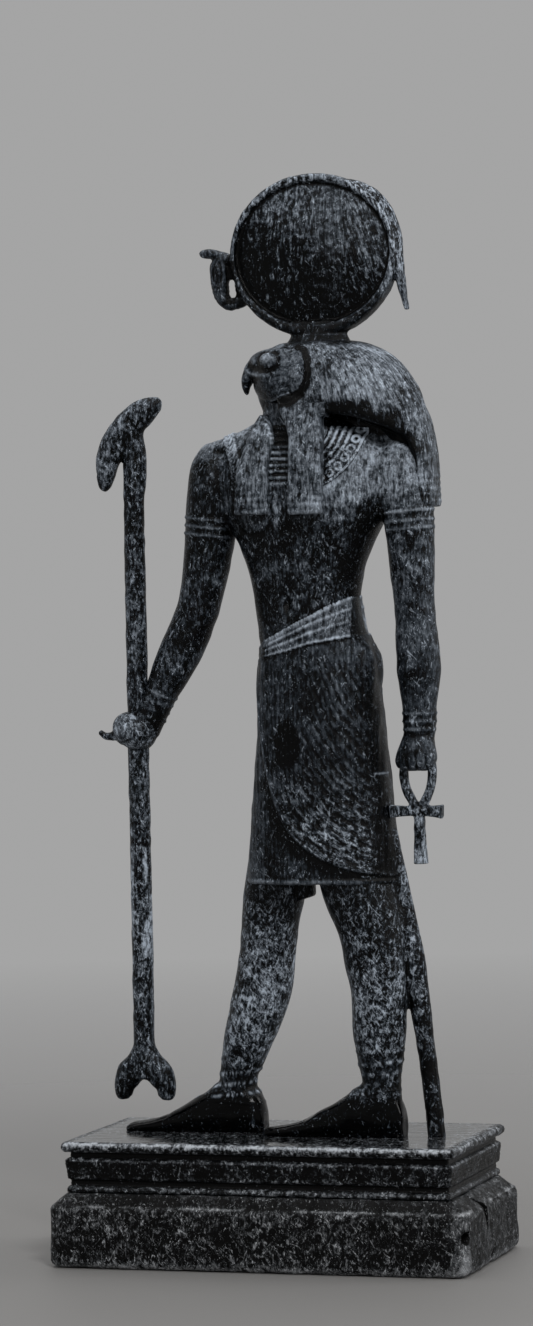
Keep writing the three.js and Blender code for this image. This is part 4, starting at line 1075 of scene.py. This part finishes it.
def legs():
    skin = Skin("legs_and_tail", leg_shapes(), 0.49)
    ankles = [(-14.6, 3, 13, 6.5), (29.2, -3, 13, 6.5), (-17, 3, 11, 5), (26, -3, 11, 5)]
    skin.blend([*ankles, (34.6, -2, 60, 4)], 30)
    skin.relax(3)
    skin.points[:, 2] = np.maximum(skin.points[:, 2], 0)
    x, y, z, normals = skin.survey()
    on_tail = x > np.interp(z, [0, 14, 48, 58, 84], [40.4, 39.6, 35.6, 34.2, 31])
    front_leg, back_leg = x < 8, (x > 8) & ~on_tail
    push = front_leg * rings_round(x, z, FRONT_LEG, [(18.6, 0.4, 0.22), (8.4, 0.4, 0.16)])
    push += back_leg * rings_round(x, z, BACK_LEG, [(23.4, 0.4, 0.2), (12.6, 0.4, 0.16)])
    # Knees and bead anklets
    for knee in KNEES:
        push += 0.5 * line(spot(x, z, knee, (1, 1.3)), 3.4)
    middle = np.where(front_leg, -13.9, 29.1)
    around = np.arctan2(y, x - middle) * 5.6
    level = z - 0.1 * (x - middle)
    beads = sum(leg * share * line(level - row, 0.6) * wave(around + 1.3 * row, 2.5)
                for leg, rows in zip((front_leg, back_leg), ANKLETS) for row, share in rows)
    push += 0.3 * beads
    # The tail's long tuft strands
    push += 0.12 * (on_tail & (z < 40)) * (wave(np.arctan2(y, x - 41.5) * 3, 1.1) - 0.5)
    # Toes
    toe_front, toe_back = (x < -34) & (z < 7), (x < 7.6) & (x > -5) & (y < 3.4) & (z < 7)
    cross = np.where(toe_front, y - 3, y + 3)
    toes = (toe_front | toe_back) & (normals[:, 2] > 0.2)
    push -= 0.4 * toes * line(((cross + 5.6) % 2.24) - 1.12, 0.35)
    skin.push(push, normals)
    skin.lumps(0.3, 3, 14)
    skin.points[:, 2] = np.maximum(skin.points[:, 2], 0) - 0.27 * step(1.2, 0, skin.points[:, 2])
    # Wear: streaky on the calves, dark and smooth on the feet
    small = skin.noise(2.2, 16)
    calf = line(z - CALF, 14)
    skin.pale = 0.455 + 0.1 * (skin.noise(6, 15) - 0.5) + 0.06 * (small - 0.5)
    fold = (x > 4.6) & (x < 11) & (z > 64) & (np.abs(y - 0.5) < 3.4)
    skin.pale = np.where(fold, 0.38, skin.pale)
    hatch = noise(np.stack([x + z, y, 0.2 * (x - z)], axis=1), 1, 35) - 0.5
    skin.pale += np.where(front_leg, (0.04 + 0.14 * hatch) * calf, 0.01 * line(z - 32, 16))
    skin.pale -= 0.046 * back_leg * step(48, 60, z)
    chipped = step(0.56, 0.8, skin.noise(2, 36, 0.3))
    skin.pale += on_tail * (0.07 * chipped * step(20, 34, z) - 0.034 - 0.012 * step(34, 24, z))
    skin.pale -= 0.1 * step(12, 7, z) * ~on_tail + 0.012 * step(62, 70, z) * (x < 12)
    skin.pale -= 0.04 * (x > 8) * step(32, 36, x) * (z < 24)
    at_ankle = np.where(front_leg, band(level, 8.6, 18, 0.8), band(level, 12.8, 22, 0.8)) * ~on_tail
    skin.pale += beads * (0.1 + 0.18 * small) - 0.02 * at_ankle
    # Painted highlight down the front foot's heel
    skin.pale += 0.12 * line(spot(x, z, (-8.6, 5), (0.8, 4.6)), 1) * (y < 4)
    off_foot = 1 - 0.85 * step(13, 8, z) * ~on_tail
    skin.dabs = (0.85 + 0.3 * line(z - CALF, 18)) * off_foot * (1 - 0.6 * at_ankle)
    skin.dabs = np.where(on_tail, 0.3 + 0.6 * step(22, 40, z), skin.dabs)
    skin.grit = 0.68 + 0.25 * line(z - CALF, 18) - 0.3 * step(12, 8, z) * ~on_tail - 0.3 * at_ankle
    skin.grain = skin.points * np.array([0.8, 0.8, 0.42])
    skin.gloss = 0.9 * step(12, 8, z) * ~on_tail + 0.1
    return skin.finish(figure_coat, ["figure"])


# The staff, in millimetres above its own foot

STAFF_TOP = 194
STAFF_LIFT = 8.7


def staff_shapes():
    """A rod that swells below the head, two prongs at the foot, and the animal's long head."""
    top, radius = STAFF_TOP, STAFF_RADIUS
    rod = stack([[0, 0, 6, radius, radius], [0, 0, 162, radius, radius], [0.4, 0, 172, 3.2, 3],
                 [0.55, 0, 178, 3.4, 3], [0.35, 0, 184, 3.1, 2.9], [0.2, 0, 188, 2.8, 2.8]], 48, 2, 12)
    lobe, spread = 2.875, 6.125
    prongs = [limb([[0, 0, 15.4, 2.7, 2.7], [side * spread * 0.3, 0, 11.4, 3.1, 2.95],
                    [side * spread * 0.72, 0, 7.4, lobe * 1.35, 2.8], [side * spread, 0, 3.8, lobe, 2.5],
                    [side * spread * 1.02, 0, 1.3, lobe * 0.8, 1.9],
                    [side * spread, 0, 0.2, lobe * 0.4, 0.9]], 32) for side in (-1, 1)]
    animal = limb([[8.7, 0, top + 0.7, 0.7, 0.9], [8.1, 0, top + 0.6, 1.7, 1.6],
                   [6.4, 0, top - 0.1, 2.7, 2.4], [3, 0, top - 2.2, 3.9, 3.2], [-1, 0, top - 5.4, 4.2, 3.5],
                   [-4.6, 0, top - 10, 4.3, 3.4], [-7.35, 0, top - 15.4, 3.4, 3],
                   [-8.1, 0, top - 19.8, 2.7, 2.5], [-8.35, 0, top - 22.4, 1.8, 1.8],
                   [-8.35, 0, top - 23.8, 0.8, 0.9]])
    return [rod, *prongs, animal]


def sceptre():
    top = STAFF_TOP
    skin = Skin("was_sceptre_dressed", staff_shapes(), 0.45)
    skin.blend([(0, 0, 14, 5), (0, 0, 5, 4), (3.2, 0, 187, 2.4)], 16)
    skin.relax(4)
    x, _, z, normals = skin.survey()
    eye = line(spot(x, z, (-0.6, top - 5)) - 1.3, 0.4)
    mouth = gap_to(x, z, (-10.6, top - 19), (-9, top - 15), (-6.6, top - 12))
    push = -0.3 * eye * (np.abs(normals[:, 1]) > 0.5) * (z > 170) - 0.25 * line(mouth, 0.4) * (z > 165)
    on_head = np.clip(step(170, 178, z) * step(-2.6, -4, x) + step(185, 188, z), 0, 1)
    push -= 0.14 * wave(x, 1.5) * band(z, 158, 186, 3) * (1 - on_head)
    skin.push(push, normals)
    skin.lumps(0.3, 2.6, 17)
    middle = band(z, 38, 72, 8)
    skin.pale = 0.448 + 0.09 * (skin.noise(5, 18, 0.7) - 0.5) + 0.01 * band(z, 18, 40, 6)
    skin.pale += 0.03 * on_head - 0.018 * band(z, 150, 172, 4) - 0.03 * step(8, 3, z)
    lips = gap_to(x, z, (-3.2, top - 4.2), (0.2, top - 7.4), (2.4, top - 10.8))
    skin.pale += (0.1 * line(lips, 0.4) + 0.06 * line(mouth, 0.5)) * (z > 165)
    skin.pale -= 0.05 * line(spot(x, z, (4, top - 6), (2.6, 3.4)), 1)
    skin.pale += (0.02 + 0.16 * middle) * step(0.5, 0.72, skin.noise(2.2, 37, 0.2))
    skin.dabs = 0.35 + 0.4 * band(z, 12, 76, 8)
    skin.grit = 0.8 + 0.3 * middle
    skin.grain = skin.points * np.array([0.9, 0.9, 0.3])
    skin.gloss = 0.25 * step(0.5, 0.42, skin.pale)
    skin.points += np.array([*STAFF_PLACE, STAFF_LIFT])
    return skin.finish(figure_coat, ["was_sceptre"])


# Plinth and base block: rectangles with round corners, skinned level by level

CORNER_TURNS = 8
FRIEZE = (4, 8.4)
FRIEZE_CELL = 7.5


def rounded(half_x, half_y, corner, spacing, z):
    """A level ring round a rectangle with round corners, evenly spaced on its straight sides."""
    arcs = []
    for start, (sx, sy) in enumerate(((1, 1), (-1, 1), (-1, -1), (1, -1))):
        angle = (start + np.arange(CORNER_TURNS + 1) / CORNER_TURNS) * np.pi / 2
        arcs.append(np.stack([sx * (half_x - corner) + corner * np.cos(angle),
                              sy * (half_y - corner) + corner * np.sin(angle),
                              np.full(len(angle), z)], axis=1))
    ring = []
    for index, arc in enumerate(arcs):
        count = spacing[index % 2]
        shares = (np.arange(1, count) / count)[:, None]
        ring += [arc, arc[-1] + (arcs[(index + 1) % 4][0] - arc[-1]) * shares]
    return np.concatenate(ring)


def moulding(name, half_x, half_y, steps, corner, pitch, spacing, inner):
    """Level rings joined into a closed skin, with a grid of points on its top and underside. A step is how
    far in the wall lies along X and along Y, and its height."""
    rows = np.array(steps, float)
    levels = []
    for start, end in zip(rows[:-1], rows[1:]):
        run = end - start
        length = max(math.hypot(run[0], run[2]), math.hypot(run[1], run[2]))
        count = max(1, round(length / pitch))
        levels += [start + run * turn / count for turn in range(count)]
    levels.append(rows[-1])
    rings = [rounded(half_x - in_x, half_y - in_y, corner, spacing, z) for in_x, in_y, z in levels]
    shares = np.linspace(0.001, 1, inner + 1)[:-1]
    first = [rings[0] * [share, share, 1] for share in shares]
    last = [rings[-1] * [share, share, 1] for share in shares[::-1]]
    return Skin(name, [closed(first + rings + last)])


def plinth():
    """A thin plate, two grooves with a frieze between them, and an overhanging slab."""
    low, high = node_box("plinth")
    half_x, half_y = high[:2]
    plate = [(1.3, 0.97, 0), (1.3, 0.97, 0.9), (1.55, 1.22, 1.35)]
    above = [(2.1, 1.8), (2.1, 3.2), (1.4, 3.6), (0.9, 8.5), (1.3, 9), (2.1, 9.5), (2.1, 10.8), (0.6, 11.1),
             (0.1, 11.7), (0, 12.4), (0.2, 13.2), (0.8, 13.7)]
    steps = plate + [(inset, inset, z) for inset, z in above]
    skin = moulding("plinth_dressed", half_x, half_y, steps, 1.1, 0.42, (168, 88), 26)
    x, y, z, normals = skin.survey()
    wall = np.abs(normals[:, 2]) < 0.75
    end = np.abs(normals[:, 0]) > 0.6
    # A row of plain lozenges and bars along the frieze
    cell = np.where(end, y, x) % FRIEZE_CELL - FRIEZE_CELL / 2
    lozenge = np.abs(np.abs(cell) / 2.5 + np.abs(z - 6.2) / 1.7 - 1)
    bars = np.abs(np.abs(cell) - 3.4)
    push = wall * band(z, *FRIEZE, 0.3) * (0.1 * line(lozenge, 0.3) + 0.07 * line(bars, 0.3) - 0.05)
    push += wall * end * 0.16 * (wave(z, 1.1) - 0.5) * band(z, 1.6, 11, 0.4)
    push += wall * 0.1 * line(z - 3.9, 0.3)
    skin.push(push, normals)
    rim = line(np.maximum(np.abs(x) / half_x, np.abs(y) / half_y) - 1, 0.03) * (z > 11)
    skin.push(0.28 * (skin.noise(1.6, 20) - 0.5) * rim)
    skin.lumps(0.14, 2.5, 21)
    # Wear: pale along the slab's edge and the frieze's top, black in the grooves
    top = normals[:, 2] > 0.8
    slab_top = top & (z > 13)
    small = skin.noise(1.8, 22)
    skin.pale = 0.446 + 0.06 * (small - 0.5) + 0.05 * (skin.noise(9, 23) - 0.5)
    skin.pale = np.where(slab_top, 0.44 + 0.05 * (small - 0.5), skin.pale)
    near_rim = np.minimum(half_x - np.abs(x), half_y - np.abs(y))
    skin.pale += 0.03 * step(10, 3, near_rim) * slab_top
    rim_wear = line(near_rim - 0.3, 0.45) * step(0.2, 0.5, skin.noise(3.5, 33)) * (z > 12.9)
    on_front = np.where(np.abs(x) > 55, 0.35, 1)
    skin.pale += on_front * (0.1 * rim_wear + 0.115 * band(z, 12.5, 13.5, 0.3) * ~top)
    skin.pale += 0.07 * wall * line(z - 8.7, 0.35) + 0.05 * wall * line(z - 1, 0.4)
    skin.pale += wall * (z < 11) * (0.12 * (skin.noise(2.6, 38) - 0.5) - 0.028)
    skin.pale -= 0.1 * wall * (band(z, 1.9, 3.3, 0.2) + band(z, 9.5, 10.9, 0.2))
    skin.dabs[:] = 0.3
    skin.grit = np.where(wall & (z < 11), 0.7, 1.0)
    skin.grain = skin.points * 0.8
    glossy = slab_top & (near_rim > 1.6)
    skin.gloss = np.where(glossy, 1.0, 0.1)
    skin.points[:, 2] += low[2] - SOLE
    dressed = skin.finish(plinth_coat, ["plinth"], "plinth_casting")
    dressed.data.materials.append(plinth_gloss)
    for face in dressed.data.polygons:
        face.material_index = int(glossy[face.vertices[0]])


# The crack's middle and width, and how deep and how far down it pulls the end face, at rising heights
CRACK_FOOT = 6
CRACK_MIDDLE = [6.4, 12, 17, 18.5, 20.4], [-5.2, -7.2, -9.4, -11.5, -13.6]
CRACK_WIDTH = [6.2, 9, 12, 16, 17, 18, 20.4], [0.02, 0.7, 1.6, 2.8, 2.3, 0.7, 0.4]
CRACK_DEPTH = [6, 10, 17, 20.4], [0.6, 3, 4.5, 0]
CRACK_DROP = [6, 16, 18, 20.4], [0, 0, 1.4, 0.9]
PIT = (59, -28.7, 10.6)
BLOCK_BEVEL = 3.4


def base_block():
    """A block with a steep wall and a sloping shoulder, chipped along its edges."""
    half_x, half_y, height = 59.7, 30.83, 20.4
    wall = height - BLOCK_BEVEL
    steps = [(1.4, 1.4, 0), (0.9, 0.9, 0.25), (0.3, 0.3, 0.8), (0, 0, 1.6), (0, 0, wall - 1),
             (0.15, 0.15, wall - 0.5), (0.5, 0.45, wall), (1.2, 0.9, wall + 0.45), (4.7, 2.5, height)]
    skin = moulding("base_block_dressed", half_x, half_y, steps, 4, 0.5, (188, 98), 12)
    x, y, z, normals = skin.survey()
    wall_side = np.abs(normals[:, 2]) < 0.75
    chips = skin.noise(2.2, 24) ** 2
    edge = line(z - wall, 1.2) + line(z - 0.8, 1.1)
    corner = step(86, 90.2, np.abs(x) + np.abs(y)) * wall_side
    skin.push(-0.55 * chips * np.clip(edge + corner, 0, 1))
    skin.lumps(0.4, 5, 25)
    skin.lumps(0.16, 1.6, 26)
    # The crack down the end face, thin over the slope and wide at the edge
    at_end = step(53, 54.5, x)
    middle = np.interp(z, *CRACK_MIDDLE)
    width = np.maximum(np.interp(z, *CRACK_WIDTH), 0.05)
    inside = step(1.0, 0.72, np.abs(y - middle) / width) * at_end * (z > CRACK_FOOT)
    skin.points[:, 0] -= inside * np.interp(z, *CRACK_DEPTH)
    skin.points[:, 2] -= inside * np.interp(z, *CRACK_DROP)
    # The part behind the crack is set back a little, and its lower corner is broken
    behind = at_end * step(0, 1, y - middle) * step(5, 8, z) * wall_side
    broken = at_end * line(y + 3.4 - 0.8 * z, 1.6) * step(7, 2, z)
    skin.points[:, 0] -= 0.35 * behind + 0.8 * broken
    # The pit at the near corner
    pit = step(1.9, 1.2, np.linalg.norm(skin.points - np.array(PIT), axis=1))
    skin.points[:, 1] += 1.7 * pit
    skin.points[:, 0] -= 1.7 * pit
    # Wear: flecked, pale along the edges and at the near corner; the end face paler as painted light, the
    # crack painted black as shade and the pit painted black
    x, y, z = skin.points.T
    small = skin.noise(1.6, 27)
    skin.pale = 0.436 + 0.05 * (small - 0.5) + 0.06 * (skin.noise(9, 28) - 0.5)
    skin.pale += 0.13 * line(z - wall - 0.1, 0.4) * step(0.2, 0.6, skin.noise(5, 29, 0))
    skin.pale += 0.1 * step(2.8, 0.3, z + 2.6 * (small - 0.5)) + 0.02 * corner
    skin.pale += 0.11 * line(spot(x, z, (58.8, 4.4), (1, 3.4)), 1) * (y < -26)
    slope = (normals[:, 2] > 0.3) & (z > 16.6)
    # Painted light: the end face is paler, as lit from the right; the slope is a little darker
    skin.pale += 0.035 * at_end - 0.012 * slope
    # Painted shade: the crack is black; the pit is painted black too
    in_crack = step(1.5, 1.1, np.abs(y - middle) / width) * at_end * (z > CRACK_FOOT)
    skin.pale = np.where((in_crack > 0.3) | (pit > 0.25), 0.34, skin.pale)
    skin.dabs = np.where(slope, 0.1, 0.5 - 0.3 * at_end)
    skin.grit = np.where(slope, 0.45, 0.72 - 0.25 * at_end)
    skin.grain = skin.points * np.array([1.2, 1.2, 0.5])
    skin.gloss = np.where(slope, 0.3, 0.05)
    skin.points[:, 2] -= SOLE
    return skin.finish(block_coat, ["base_block"], "worn_block")


for build in (sun_disc, head, ankh, kilt, legs, sceptre, plinth, base_block):
    build()
collar(torso())


# Floor, light and camera

PHOTO_HEIGHT = 1326
FOCAL_PIXELS = 4500
SENSOR = 36


def floor():
    """A round floor that fades into the backdrop."""
    radius, sides, rounds = 1.0, 128, 40
    u, v = circle(sides)
    level = np.full(sides, -0.0002)
    points = np.concatenate([np.stack([share * u, share * v, level], axis=1)
                             for share in radius * np.linspace(0.01, 1, rounds)])
    faces = [tuple(range(sides))]
    for ring in range(rounds - 1):
        for side in range(sides):
            here, following = ring * sides + side, ring * sides + (side + 1) % sides
            faces.append((here, here + sides, following + sides, following))
    obj = raw_mesh("floor", [(points, faces)])
    t = Tree("floor")
    place = t.node("TexCoord").outputs["Object"]
    length = t.node("VectorMath", operation="LENGTH")
    t.wire(place, length.inputs[0])
    fade = t.maths("POWER", t.ramp(length.outputs["Value"], 0.12, radius * 0.98), 0.8)
    colour = t.mix(t.noise(place, 6, 4, 0.6), (0.172, 0.168, 0.164, 1), (0.188, 0.184, 0.18, 1))
    t.wire(colour, t.shader.inputs["Base Color"])
    t.shader.inputs["Roughness"].default_value = 0.6
    both = t.node("MixShader")
    for index, value in enumerate((fade, t.shader.outputs[0], t.node("BsdfTransparent").outputs[0])):
        t.wire(value, both.inputs[index])
    t.wire(both.outputs[0], t.tree.nodes["Material Output"].inputs["Surface"])
    obj.data.materials.append(t.material)


def softbox(name, place, target, size, power):
    """A rectangular lamp that faces its target. Lengths are in metres and the power is in watts."""
    light = bpy.data.lights.new(name, "AREA")
    light.shape = "RECTANGLE"
    light.size, light.size_y = size
    light.energy = power
    obj = bpy.data.objects.new(name, light)
    obj.location = place
    obj.rotation_euler = (Vector(target) - Vector(place)).to_track_quat("-Z", "Y").to_euler()
    bpy.context.scene.collection.objects.link(obj)


def camera():
    """The camera as fitted to the photo, aimed at a point in millimetres above the table."""
    azimuth, pitch, roll = (math.radians(angle) for angle in (16.94, 1.16, -1.1))
    target, distance = Vector((-2.61, 0, 165.13)), 1248.94
    right = Vector((math.cos(azimuth), math.sin(azimuth), 0))
    level = Vector((math.sin(azimuth), -math.cos(azimuth), 0))
    back = level * math.cos(pitch) + Vector((0, 0, math.sin(pitch)))
    up = back.cross(right)
    rolled_right = right * math.cos(roll) + up * math.sin(roll)
    rolled_up = up * math.cos(roll) - right * math.sin(roll)
    matrix = Matrix((rolled_right, rolled_up, back)).transposed().to_4x4()
    matrix.translation = (target + back * distance) * MM
    data = bpy.data.cameras.new("camera")
    data.sensor_fit = "VERTICAL"
    data.sensor_height = SENSOR
    data.lens = FOCAL_PIXELS / PHOTO_HEIGHT * SENSOR
    obj = bpy.data.objects.new("camera", data)
    obj.matrix_world = matrix
    bpy.context.scene.collection.objects.link(obj)
    bpy.context.scene.camera = obj


def studio(grey):
    world = bpy.data.worlds.new("studio")
    world.use_nodes = True
    world.node_tree.nodes["Background"].inputs["Color"].default_value = (grey, grey, grey, 1)
    bpy.context.scene.world = world
    bpy.context.scene.view_settings.view_transform = "Standard"


floor()
softbox("key", (0.62, -0.95, 1.05), (0, 0, 0.17), (0.3, 0.3), 11)
softbox("overhead", (-0.1, 0.1, 1.15), (0, 0, 0.15), (0.8, 0.8), 6)
softbox("right", (1.0, 0.35, 0.55), (0, 0, 0.12), (0.4, 0.5), 3.5)
camera()
studio(0.375)
